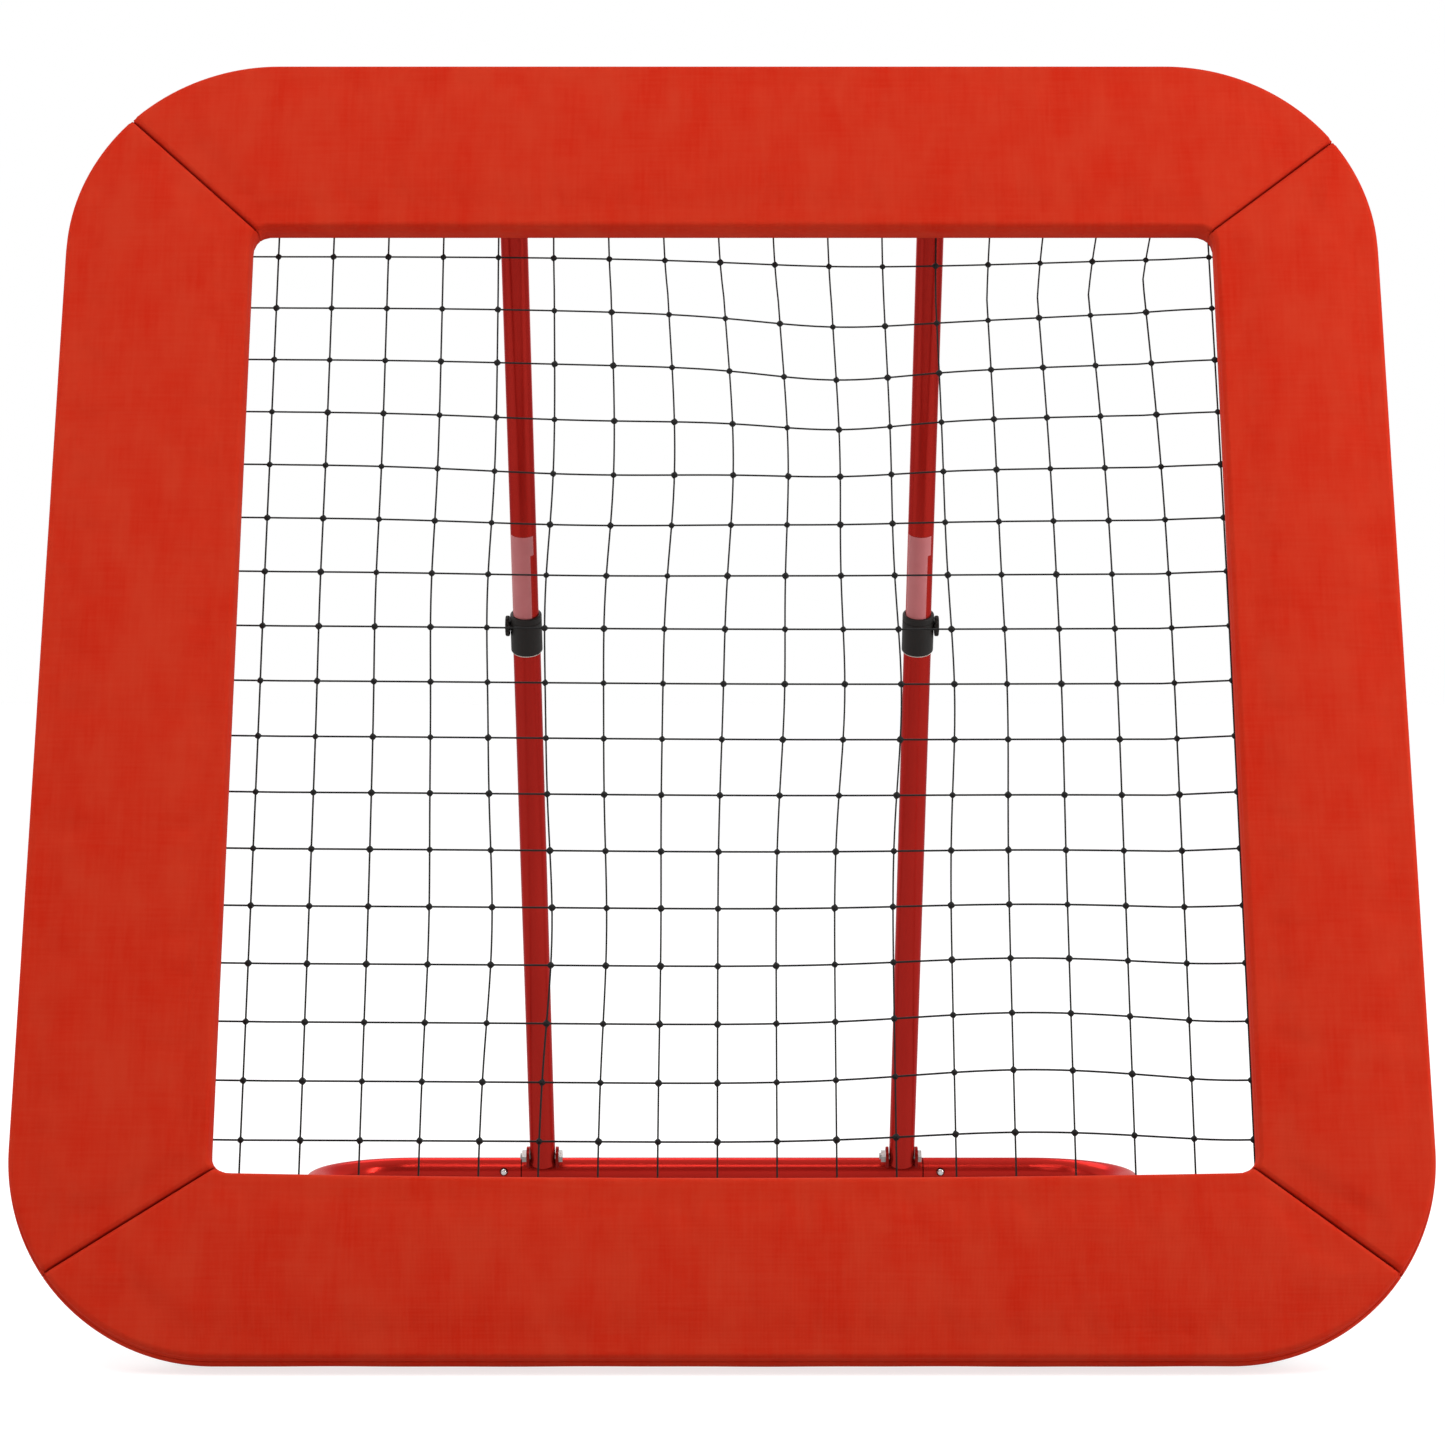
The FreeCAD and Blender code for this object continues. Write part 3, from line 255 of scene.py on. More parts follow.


# Painted shade: dark lines on the base tubes at their butt joints and round the snap button holes, for the shade
# in them.
BASE_JOINT_X, JOINT_LINE = 0.1795, 0.0005
BUTTON_X, BUTTON_RIM = 0.195, 0.0037
rear_z = joints["frame_tilt"]["pos_m"][2]
rear_y = (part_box("base_rear_tube")[0][1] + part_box("base_rear_tube")[1][1]) / 2
shade_lines, shade_lines_in, shade_lines_out = new_group("base_painted_shade", [], [("Painted Shade", "NodeSocketFloat")])
shade_lines_way = add(shade_lines, "ShaderNodeSeparateXYZ", Vector=shade_lines.nodes.new("ShaderNodeTexCoord").outputs["Object"])
out_x = combine(shade_lines, "ABSOLUTE", shade_lines_way.outputs["X"])
from_joint = combine(shade_lines, "ABSOLUTE", combine(shade_lines, "SUBTRACT", out_x, BASE_JOINT_X))
at_joint = combine(shade_lines, "LESS_THAN", from_joint, JOINT_LINE)
button_dx = combine(shade_lines, "SUBTRACT", out_x, BUTTON_X)
button_dz = combine(shade_lines, "SUBTRACT", shade_lines_way.outputs["Z"], rear_z)
button_gap = combine(shade_lines, "SQRT", combine(shade_lines, "ADD", combine(shade_lines, "MULTIPLY", button_dx, button_dx),
                                            combine(shade_lines, "MULTIPLY", button_dz, button_dz)))
at_button = combine(shade_lines, "LESS_THAN", button_gap, BUTTON_RIM)
on_front = combine(shade_lines, "LESS_THAN", shade_lines_way.outputs["Y"], rear_y)
shade_lines.links.new(combine(shade_lines, "MAXIMUM", at_joint, combine(shade_lines, "MULTIPLY", at_button, on_front)),
                shade_lines_out.inputs["Painted Shade"])
# Painted light: the base tubes get a lighter copy of the same red enamel, standing in for the light on their tops.
lit_base_enamel = enamel_material("red_enamel_base_lit_copy", (0.50, 0.020, 0.014, 1.0),
                              (0.60, 0.028, 0.019, 1.0), 0.2, shade_lines)
tube_enamel = enamel_material("red_enamel", (0.42, 0.018, 0.013, 1.0), (0.52, 0.026, 0.018, 1.0), 0.15)
# Painted shade: the brackets get a darker copy of the same red enamel, standing in for the shade they sit in.
shaded_bracket_enamel = enamel_material("red_enamel_brackets_shaded_copy", (0.20, 0.008, 0.006, 1.0),
                                 (0.30, 0.013, 0.010, 1.0), 0.3)


def paint(material, *names):
    """Give CAD nodes a material in every slot."""
    for name in names:
        slots = nodes[name].material_slots
        if not len(slots):
            nodes[name].data.materials.append(material)
        for slot in slots:
            slot.material = material


paint(lit_base_enamel, "base_rear_tube", "base_side_tube_left", "base_side_tube_right")
paint(tube_enamel, "frame_tube_top_left", "frame_tube_top_right", "frame_tube_bottom_left",
      "frame_tube_bottom_right", "strut_lower_tube_left", "strut_lower_tube_right",
      "strut_upper_tube_left", "strut_upper_tube_right")
paint(shaded_bracket_enamel, "strut_foot_bracket_left", "strut_foot_bracket_right", "hinge_bracket_left",
      "hinge_bracket_right", "strut_top_bracket_left", "strut_top_bracket_right")

# Bolts, nuts, screws and clips: steel with bright zinc plate, a little cloudy, with fine
# turning marks. The snap buttons are harder and polished bright.


def clouded_material(name, dark, light, rough, scale, detail, **constants):
    """A material between two shades, clouded by one noise that also sets how rough it is."""
    material, tree, shader = new_material(name)
    cloud = noise(tree, scale, detail)
    tree.links.new(mix_colour(tree, cloud, dark, light), shader.inputs["Base Color"])
    tree.links.new(scaled(tree, cloud, *rough), shader.inputs["Roughness"])
    set_sockets(shader, **constants)
    return material, tree, shader, cloud


zinc, zinc_tree, zinc_shader, _ = clouded_material(
    "zinc_plate", (0.30, 0.29, 0.29, 1.0), (0.55, 0.53, 0.51, 1.0), (0.22, 0.45), 420.0, 5.0, Metallic=1.0)
emboss(zinc_tree, zinc_shader, noise(zinc_tree, 2600.0, 2.0), 0.2, 0.0001)
paint(zinc, "strut_foot_bolts", "strut_foot_nuts", "hinge_bolts", "hinge_nuts", "frame_joint_screws",
      "strut_pivot_bolt_left", "strut_pivot_bolt_right", "snap_clip_left", "snap_clip_right")

polish = clouded_material("polished_button", (0.74, 0.74, 0.75, 1.0), (0.90, 0.90, 0.88, 1.0),
                          (0.08, 0.2), 900.0, 3.0, Metallic=1.0)[0]
paint(polish, "snap_button_left", "snap_button_right")

# Leaf clips: each is a folded strip of spring steel behind a snap button. On the real clip the front leaf goes in
# with the button while the back leaf stays against the tube; here each clip is copied whole and carried on the
# base.
for side in ("left", "right"):
    strip = nodes["snap_clip_" + side]
    clip = bpy.data.objects.new("leaf_clip_" + side, strip.data.copy())
    clip.matrix_world = strip.matrix_world
    bpy.context.scene.collection.objects.link(clip)
    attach(clip, "base")
    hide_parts("snap_clip_" + side)
    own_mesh(clip)

# Moulded plastic: collars, clamp knobs, plugs and feet in black nylon with a fine spark
# grain; the guide bushes are natural nylon, slightly yellow.
grain, grain_in, grain_out = new_group("moulded_grain", [("Grain Size", FLOAT, 2200.0)],
                                       [("Grain", FLOAT), ("Patch", FLOAT)])
grain.links.new(noise(grain, grain_in.outputs["Grain Size"], 3.0), grain_out.inputs["Grain"])
grain.links.new(noise(grain, 60.0, 3.0), grain_out.inputs["Patch"])


def plastic_material(name, dark, light, rough_low, rough_high):
    """Moulded plastic between two shades."""
    material, tree, shader = new_material(name)
    skin = place_group(tree, grain)
    tree.links.new(mix_colour(tree, skin.outputs["Patch"], dark, light), shader.inputs["Base Color"])
    tree.links.new(scaled(tree, skin.outputs["Grain"], rough_low, rough_high), shader.inputs["Roughness"])
    emboss(tree, shader, skin.outputs["Grain"], 0.25, 0.0002)
    set_sockets(shader, Specular_IOR_Level=0.35)
    return material


black_nylon = plastic_material("black_nylon", (0.006, 0.0055, 0.0045, 1.0),
                               (0.014, 0.012, 0.010, 1.0), 0.5, 0.66)
pale_nylon = plastic_material("natural_nylon", (0.62, 0.58, 0.50, 1.0), (0.78, 0.75, 0.68, 1.0), 0.35, 0.5)
paint(black_nylon, "strut_collar_left", "strut_collar_right", "clamp_knob_left", "clamp_knob_right",
      "leg_end_plugs", "rear_foot_pads", "front_foot_pads", "strut_guide_plug_left", "strut_guide_plug_right",
      "strut_top_plug_left", "strut_top_plug_right")
paint(pale_nylon, "strut_bush_left", "strut_bush_right")

# Labels: one glued round each inner tube, a thin clear film with a white print ground that
# the red tube tints pink. They are blank.
film = clouded_material("label_film", (0.56, 0.155, 0.165, 1.0), (0.64, 0.21, 0.215, 1.0),
                        (0.25, 0.4), 70.0, 4.0, Specular_IOR_Level=0.5)[0]
paint(film, "strut_label_left", "strut_label_right")

# Padded cover, four sewn pads round the frame: foam in woven polyester, with rolled edges,
# mitred corners and a puffed side wall. Each pad is one closed cushion.
LEAN = math.radians(19.0)
hinge = joints["frame_tilt"]["pos_m"]
FOOT_Y = hinge[1] - 0.0740
FOOT_Z = hinge[2] - 0.0019
FACE_WIDTH, FACE_HEIGHT, FACE_CORNER = 960.0, 955.0, 150.0
OPENING = (-345.3, 361.3, 124.0, 823.0)
OPENING_CORNER = 13.0
FOOT_CORNER = 142.0
SEAMS = [((-343.0, 126.5), (-451.6, 57.0)), ((-341.5, 820.6), (-436.5, 910.0)),
         ((360.0, 820.6), (450.3, 892.0)), ((359.0, 126.5), (451.6, 57.0))]
PADS = ("left", "top", "right", "bottom")


def on_face(x, s, d):
    """World place, in metres, of a point x across, s up and d behind the padded face, in mm."""
    y = FOOT_Y + 0.001 * (s * math.sin(LEAN) + d * math.cos(LEAN))
    z = FOOT_Z + 0.001 * (s * math.cos(LEAN) - d * math.sin(LEAN))
    return (0.001 * x, y, z)


def rounded_loop(left, right, low, high, radius, foot_r, step):
    """Points clockwise round a rectangle with round corners, from the middle of its left side."""
    middle = (low + high) / 2
    corners = [(left + radius, high - radius, 180), (right - radius, high - radius, 90),
               (right - foot_r, low + foot_r, 0), (left + foot_r, low + foot_r, -90)]
    knots = [(left, middle)]
    for cx, cy, start in corners:
        bend = radius if cy > middle else foot_r
        count = max(8, int(bend * math.pi / 2 / step))
        for k in range(count + 1):
            angle = math.radians(start - 90.0 * k / count)
            knots.append((cx + bend * math.cos(angle), cy + bend * math.sin(angle)))
    knots.append((left, middle))
    points = []
    for (x0, y0), (x1, y1) in zip(knots[:-1], knots[1:]):
        run = math.hypot(x1 - x0, y1 - y0)
        parts = max(1, int(run / step))
        points += [(x0 + (x1 - x0) * k / parts, y0 + (y1 - y0) * k / parts) for k in range(parts)]
    return np.array(points)


def crossing(loop, seam):
    """Where a seam line leaves a loop: the index before it and the point."""
    inner, outer = (np.array(p) for p in seam)
    way = (outer - inner) / np.linalg.norm(outer - inner)
    side = (loop[:, 0] - inner[0]) * way[1] - (loop[:, 1] - inner[1]) * way[0]
    ahead = (loop - inner) @ way > -30.0
    for k in range(len(loop)):
        after = (k + 1) % len(loop)
        if side[k] * side[after] <= 0 and ahead[k] and side[k] != side[after]:
            share = side[k] / (side[k] - side[after])
            return k, loop[k] + share * (loop[after] - loop[k])
    raise ValueError("the seam does not cross the loop")


def stretch(loop, seam_a, seam_b, count):
    """Evenly spaced points along a loop from one seam, clockwise, to the next."""
    ka, pa = crossing(loop, seam_a)
    kb, pb = crossing(loop, seam_b)
    steps = (kb - ka) % len(loop)
    path = np.array([pa] + [loop[(ka + 1 + k) % len(loop)] for k in range(steps)] + [pb])
    gaps = np.linalg.norm(np.diff(path, axis=0), axis=1)
    keep = np.concatenate([[True], gaps > 1e-6])
    path = path[keep]
    reach = np.concatenate([[0.0], np.cumsum(np.linalg.norm(np.diff(path, axis=0), axis=1))])
    wanted = np.linspace(0.0, reach[-1], count)
    return np.stack([np.interp(wanted, reach, path[:, 0]), np.interp(wanted, reach, path[:, 1])], 1), reach[-1]


LOOP_STEP, LINE_COUNT = 2.0, 1200
outer_loop = rounded_loop(-FACE_WIDTH / 2, FACE_WIDTH / 2, 0.0, FACE_HEIGHT, FACE_CORNER, FOOT_CORNER, LOOP_STEP)
inner_loop = rounded_loop(*OPENING, OPENING_CORNER, OPENING_CORNER, LOOP_STEP)

# A pad's own sizes, in mm: its rolled edges, the gap and the closing at a mitre, how far its
# walls puff out at each depth, and how its panel swells, puckers and ripples from its seams.
EDGE_R = 4.0
SEAM_HALF_GAP = 0.6
SEAM_CLOSE, CLOSE_BELOW = 0.5, EDGE_R + 2.0
ROLL = np.array([1.0, 0.965, 0.88, 0.74, 0.55, 0.35, 0.15, 0.0])
CUSHION_DEPTH = 20.6
OUTER_WALL = ((4.7, -0.5), (5.8, -1.0), (7.0, 0.4), (10.5, 1.4), (15.0, 1.3), (19.2, 0.4))
INNER_WALL = (0.0, 0.3, 0.7, 0.8, 0.4, -0.3)
CROWN = 0.8
BOTTOM_SAG = 3.6
FREE_FROM, FREE_OVER = 5.0, 22.0
ALONG_STEP, ACROSS_STEP = 6.0, 5.5
SWELL_REACH, PUCKER_REACH, PUCKER_RISE = 22.0, 9.0, 5.0
PUCKER_HEIGHT, DRIFT_HEIGHT = 0.10, 0.3
RIPPLES_ALONG, RIPPLE_ACROSS = ((7.3, 1.0), (11.9, 0.7)), (6.1, 0.6)
DRIFT_ALONG, DRIFT_ACROSS = 61.0, 39.0
SIDE_SHARE = 0.6


def hang(out, facing_up):
    """How far a bulge stands out where the wall faces this much upwards: most underneath."""
    return out * (SIDE_SHARE + (1.0 - SIDE_SHARE) * max(0.0, -facing_up)) if out > 0 else out


def new_piece(name, verts, faces):
    """A smooth mesh object in the scene."""
    mesh = bpy.data.meshes.new(name)
    mesh.from_pydata(verts, [], faces)
    for polygon in mesh.polygons:
        polygon.use_smooth = True
    piece = bpy.data.objects.new(name, mesh)
    bpy.context.scene.collection.objects.link(piece)
    return piece


def face_outwards(mesh):
    """Turn all the faces of a closed mesh outwards."""
    work = bmesh.new()
    work.from_mesh(mesh)
    bmesh.ops.recalc_face_normals(work, faces=work.faces)
    work.to_mesh(mesh)
    work.free()


def edge_steps(length, pitch):
    """Distances from one edge to the other: close together in each rolled edge, even between."""
    roll = EDGE_R * (1.0 - ROLL)
    inside = np.linspace(EDGE_R, length - EDGE_R, max(3, int((length - 2 * EDGE_R) / pitch)))
    return np.concatenate([roll, inside[1:-1], (length - roll)[::-1]])


def pad_mesh(name, seam_a, seam_b, seed, sag):
    """One pad as a closed quad mesh: front panel, side wall and back panel.

    Also returns how free each point is to swell, from 0 at the seams to 1 in the panel.
    """
    outer, outer_run = stretch(outer_loop, seam_a, seam_b, LINE_COUNT)
    inner, _ = stretch(inner_loop, seam_a, seam_b, LINE_COUNT)
    opening_left, opening_right = OPENING[:2]
    from_middle = np.abs(inner[:, 0] - (opening_left + opening_right) / 2)
    reach = np.clip(from_middle / (opening_right - opening_left) * 2, 0, 1)
    inner[:, 1] -= sag * (1 - reach ** 2)
    panel_run = outer_run - 2 * SEAM_HALF_GAP
    panel_width = np.median(np.linalg.norm(outer - inner, axis=1))
    along = edge_steps(panel_run, ALONG_STEP)
    across = edge_steps(panel_width, ACROSS_STEP)
    rng = np.random.default_rng(seed)
    phase = rng.uniform(0, 2 * math.pi, 6)
    rows, cols = len(along), len(across)
    front, back, free = [], [], []
    for a in along:
        t = (a + SEAM_HALF_GAP) / outer_run * (LINE_COUNT - 1)
        k = min(int(t), LINE_COUNT - 2)
        edge_out = outer[k] + (outer[k + 1] - outer[k]) * (t - k)
        edge_in = inner[k] + (inner[k + 1] - inner[k]) * (t - k)
        from_end = min(a, panel_run - a)
        for c in across:
            from_side = min(c, panel_width - c)
            plan = edge_out + (edge_in - edge_out) * c / panel_width
            lift = math.hypot(max(0.0, EDGE_R - from_end), max(0.0, EDGE_R - from_side))
            depth = EDGE_R - math.sqrt(max(0.0, EDGE_R ** 2 - min(lift, EDGE_R) ** 2))
            near = min(from_end, from_side)
            swell = 1.0 - math.exp(-near / SWELL_REACH)
            pucker = math.exp(-near / PUCKER_REACH) * near / PUCKER_RISE
            ripple = sum(share * math.sin(a / run + shift) for (run, share), shift in zip(RIPPLES_ALONG, phase))
            ripple += RIPPLE_ACROSS[1] * math.sin(c / RIPPLE_ACROSS[0] + phase[2])
            drift = math.sin(a / DRIFT_ALONG + phase[3]) * math.sin(c / DRIFT_ACROSS + phase[4])
            depth -= CROWN * swell + PUCKER_HEIGHT * pucker * ripple + DRIFT_HEIGHT * swell * drift
            front.append((plan[0], plan[1], depth))
            back.append((plan[0], plan[1], CUSHION_DEPTH))
            free.append(min(1.0, max(0.0, (near - FREE_FROM) / FREE_OVER)))
    rim = [(i, 0) for i in range(rows)] + [(rows - 1, j) for j in range(1, cols)]
    rim += [(i, cols - 1) for i in range(rows - 2, -1, -1)] + [(0, j) for j in range(cols - 2, 0, -1)]
    rim_plan = np.array([front[i * cols + j][:2] for i, j in rim])
    tangent = np.roll(rim_plan, -1, axis=0) - np.roll(rim_plan, 1, axis=0)
    tangent /= np.linalg.norm(tangent, axis=1)[:, None]
    outward = np.stack([-tangent[:, 1], tangent[:, 0]], 1)
    verts = list(front)
    loops = [[i * cols + j for i, j in rim]]
    for (depth, out_puff), in_puff in zip(OUTER_WALL, INNER_WALL):
        loops.append(range(len(verts), len(verts) + len(rim)))
        for (i, j), (x, s), (ox, os_) in zip(rim, rim_plan, outward):
            puff = hang(out_puff, os_) if j == 0 else in_puff if j == cols - 1 else 0.0
            if i in (0, rows - 1):
                puff = SEAM_CLOSE if depth > CLOSE_BELOW else 0.0
            verts.append((x + ox * puff, s + os_ * puff, depth))
    base = len(verts)
    verts += back
    loops.append([base + i * cols + j for i, j in rim])
    faces = []
    for i in range(rows - 1):
        for j in range(cols - 1):
            corner = i * cols + j
            faces.append((corner, corner + cols, corner + cols + 1, corner + 1))
            faces.append((base + corner, base + corner + 1, base + corner + cols + 1, base + corner + cols))
    for upper, lower in zip(loops[:-1], loops[1:]):
        count = len(upper)
        faces += [(upper[k], lower[k], lower[(k + 1) % count], upper[(k + 1) % count]) for k in range(count)]
    piece = new_piece(name, [on_face(*p) for p in verts], faces)
    face_outwards(piece.data)
    return piece, np.array(free + [0.0] * (len(verts) - len(free)))


SWELL_PRESSURE, SWELL_STRETCH, SWELL_FRAMES, SWELL_CAP = 4.0, -0.008, 20, 0.0022


def swell_pads(pads, cap):
    """Blow the sewn pads up as cloth under pressure, held at their seams, by at most a cap."""
    scene = bpy.context.scene
    for pad, free in pads:
        held = pad.vertex_groups.new(name="held")
        for index, looseness in enumerate(free):
            held.add([index], 1.0 - looseness, "REPLACE")
        cloth = pad.modifiers.new("cloth", "CLOTH")
        cloth.settings.vertex_group_mass = "held"
        cloth.settings.use_pressure = True
        cloth.settings.uniform_pressure_force = SWELL_PRESSURE
        cloth.settings.shrink_min = SWELL_STRETCH
        cloth.settings.effector_weights.gravity = 0.0
        cloth.point_cache.frame_start = 1
        cloth.point_cache.frame_end = SWELL_FRAMES
    for frame_number in range(1, SWELL_FRAMES + 1):
        scene.frame_set(frame_number)
    graph = bpy.context.evaluated_depsgraph_get()
    for pad, free in pads:
        blown = np.array([v.co for v in pad.evaluated_get(graph).data.vertices])
        flat = np.array([v.co for v in pad.data.vertices])
        move = blown - flat
        size = np.maximum(np.linalg.norm(move, axis=1), 1e-9)
        move *= (cap * np.tanh(size / cap) / size)[:, None]
        pad.modifiers.clear()
        pad.vertex_groups.clear()
        pad.data.vertices.foreach_set("co", (flat + move).ravel())
        pad.data.update()
    scene.frame_set(1)


weave, weave_in, weave_out = new_group(
    "woven_cloth", [("Yarn", FLOAT, 0.9), ("Mottle Size", FLOAT, 26.0)],
    [("Height", FLOAT), ("Mottle", FLOAT), ("Streak", FLOAT)])
weave_way = weave.nodes.new("ShaderNodeTexCoord")
weave_turn = add(weave, "ShaderNodeMapping", Vector=weave_way.outputs["Object"],
                 Rotation=(-(math.pi / 2 - LEAN), 0.0, 0.0))


def enlarge(tree, vector, scale):
    """A vector times a scale."""
    node = add(tree, "ShaderNodeVectorMath", Vector=vector)
    node.operation = "SCALE"
    put(tree, node.inputs["Scale"], scale)
    return node.outputs["Vector"]


def wave_of(tree, socket):
    """The size of a sine wave along one axis."""
    return combine(tree, "ABSOLUTE", combine(tree, "SINE", socket))


def streaks(tree, vector, scale):
    """Noise stretched along one axis, as slubs in the yarn are."""
    mapping = add(tree, "ShaderNodeMapping", Vector=vector, Scale=scale)
    return add(tree, "ShaderNodeTexNoise", Vector=mapping.outputs["Vector"], Scale=1.0, Detail=3.0).outputs["Fac"]


weave_mm = enlarge(weave, weave_turn.outputs["Vector"], 1000.0)
yarn_pitch = combine(weave, "DIVIDE", math.pi, weave_in.outputs["Yarn"])
yarn_axes = add(weave, "ShaderNodeSeparateXYZ", Vector=enlarge(weave, weave_mm, yarn_pitch))
yarns = combine(weave, "ADD", wave_of(weave, yarn_axes.outputs["X"]), wave_of(weave, yarn_axes.outputs["Y"]))
slub_up = streaks(weave, weave_mm, (0.42, 0.022, 0.1))
slub_over = streaks(weave, weave_mm, (0.022, 0.42, 0.1))
streak = combine(weave, "MULTIPLY", combine(weave, "ADD", slub_up, slub_over), 0.5)
patches = add(weave, "ShaderNodeMapping", Vector=weave_way.outputs["Object"], Scale=(1.6, 1.0, 0.7))
mottle = add(weave, "ShaderNodeTexNoise", Vector=patches.outputs["Vector"], Detail=4.0, Roughness=0.55,
             Scale=weave_in.outputs["Mottle Size"])
weave.links.new(combine(weave, "ADD", combine(weave, "MULTIPLY", yarns, 0.5), streak), weave_out.inputs["Height"])
weave.links.new(mottle.outputs["Fac"], weave_out.inputs["Mottle"])
weave.links.new(streak, weave_out.inputs["Streak"])


def cloth_material(name, deep, bright, streak_tone, yarn, roughness, sheen):
    """Woven cloth: two shades in blotches, streaks of slub and a yarn-high bump."""
    material, tree, shader = new_material(name)
    cloth = place_group(tree, weave, Yarn=yarn)
    blotch = add(tree, "ShaderNodeMapRange", Value=cloth.outputs["Mottle"], From_Min=0.34, From_Max=0.66)
    colour = mix_colour(tree, blotch.outputs["Result"], deep, bright)
    slub = add(tree, "ShaderNodeMapRange", Value=cloth.outputs["Streak"],
               From_Min=0.40, From_Max=0.64, To_Max=0.35)
    colour = mix_colour(tree, slub.outputs["Result"], colour, streak_tone)
    tree.links.new(colour, shader.inputs["Base Color"])
    tree.links.new(scaled(tree, cloth.outputs["Mottle"], roughness, roughness + 0.12), shader.inputs["Roughness"])
    emboss(tree, shader, cloth.outputs["Height"], 0.35, 0.00025)
    set_sockets(shader, Specular_IOR_Level=0.08, Sheen_Weight=sheen, Sheen_Roughness=0.5,
                Sheen_Tint=(1.0, 0.45, 0.35, 1.0))
    return material


pad_cloth = cloth_material("red_polyester", (0.585, 0.019, 0.004, 1.0), (0.595, 0.034, 0.011, 1.0),
                           (0.60, 0.045, 0.018, 1.0), 0.9, 0.8, 0.02)
sewn = []
for index, side in enumerate(PADS):
    sag = BOTTOM_SAG if side == "bottom" else 0.0
    sewn.append(pad_mesh("pad_" + side, SEAMS[index], SEAMS[(index + 1) % len(SEAMS)], 11 + index, sag))
swell_pads(sewn, SWELL_CAP)
for side, (pad, _) in zip(PADS, sewn):
    pad.data.materials.append(pad_cloth)
    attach(pad, "frame")
    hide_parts("pad_cover_" + side, "pad_foam_" + side)

# Skirt: the pads' outer wall goes on behind the foam as one band of the same cloth, hemmed
# at its free edge, and hides the frame tube from the side.
SKIRT_TOP, SKIRT_HEM, SKIRT_END = 9.0, 28.0, 35.0
SKIRT_ROWS = 240
# The band's outline, from its top down the outside, round the hem and up the inside: how far
# it stands out and how deep it lies, in mm.
SKIRT_PROFILE = (
    (0.9, SKIRT_TOP), (2.0, 9.7), (2.9, 11.0), (3.4, 13.0), (3.4, 16.0), (3.1, 20.0), (2.5, 24.0),
    (1.8, SKIRT_HEM - 1.0), (1.4, SKIRT_HEM), (1.7, SKIRT_HEM + 1.2), (1.0, SKIRT_END - 1.0),
    (0.4, SKIRT_END),
    (-0.5, SKIRT_END - 0.2), (-0.6, SKIRT_END - 1.5), (0.2, SKIRT_HEM), (1.0, 22.0), (1.5, 17.0), (1.6, 13.0))


def skirt_mesh(name, seam_a, seam_b, seed):
    """A hemmed band along a pad's outer edge."""
    line, run = stretch(outer_loop, seam_a, seam_b, LINE_COUNT)
    wanted = np.linspace(SEAM_HALF_GAP, run - SEAM_HALF_GAP, SKIRT_ROWS) / run * (len(line) - 1)
    path = np.stack([np.interp(wanted, range(len(line)), line[:, axis]) for axis in (0, 1)], 1)
    tangent = np.gradient(path, axis=0)
    tangent /= np.linalg.norm(tangent, axis=1)[:, None]
    outward = np.stack([-tangent[:, 1], tangent[:, 0]], 1)
    rng = np.random.default_rng(seed)
    phase = rng.uniform(0, 2 * math.pi, 3)
    verts, faces = [], []
    for k, ((x, s), (ox, os_)) in enumerate(zip(path, outward)):
        reach = k * run / len(path)
        sway = 0.25 * math.sin(reach / 31.0 + phase[0]) + 0.15 * math.sin(reach / 13.0 + phase[1]) - 0.4
        for out, depth in SKIRT_PROFILE:
            move = hang(out, os_) + sway * max(0.0, depth - SKIRT_TOP) / (SKIRT_END - SKIRT_TOP)
            verts.append(on_face(x + ox * move, s + os_ * move, depth))
    count = len(SKIRT_PROFILE)
    for k in range(len(path) - 1):
        for m in range(count):
            after = (m + 1) % count
            faces.append((k * count + m, k * count + after, (k + 1) * count + after, (k + 1) * count + m))
    faces.append(tuple(range(count)))
    faces.append(tuple(reversed(range((len(path) - 1) * count, len(path) * count))))
    piece = new_piece(name, verts, faces)
    face_outwards(piece.data)
    return piece, 0.001 * run


for index, side in enumerate(PADS):
    skirt, run = skirt_mesh("pad_skirt_" + side, SEAMS[index], SEAMS[(index + 1) % len(SEAMS)], 31 + index)
    skirt.data.materials.append(pad_cloth)
    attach(skirt, "frame")

# Net: knotted black cord in square mesh, a little slack, so that its rows dip and its
# columns wander. Each strand is a round cord and each crossing a small wrapped knot.
NET_DEPTH = 35.0
COLUMNS = [-369.5 + 40.7 * n for n in range(19)]
ROWS = [111.43 + 41.37 * n for n in range(18)]
ROPE_HALF, ROPE_LOW, ROPE_HIGH = 373.0, 105.0, 850.0
# Where the net is slack: place across and up, spread across and up, and the pull there in
# the same two ways, all in mm.
SLACK = (
    ((135.0, 835.0), (180.0, 150.0), (0.0, -12.0)),
    ((75.0, 715.0), (75.0, 85.0), (0.0, -8.5)),
    ((-90.0, 655.0), (120.0, 75.0), (0.0, -6.5)),
    ((215.0, 190.0), (120.0, 130.0), (0.0, 11.0)),
    ((315.0, 165.0), (475.0, 480.0), (0.0, -4.0)),
    ((5.0, 660.0), (115.0, 135.0), (11.5, 0.0)),
    ((100.0, 475.0), (95.0, 90.0), (8.5, 0.0)),
    ((330.0, 915.0), (135.0, 220.0), (-17.5, 0.0)),
    ((-135.0, 300.0), (70.0, 90.0), (7.0, 0.0)),
    ((-140.0, 550.0), (120.0, 75.0), (-3.5, 0.0)),
)
ROPE_HOLD = 60.0
BELLY, BELLY_UP, BELLY_SPREAD = 4.0, 470.0, 240.0


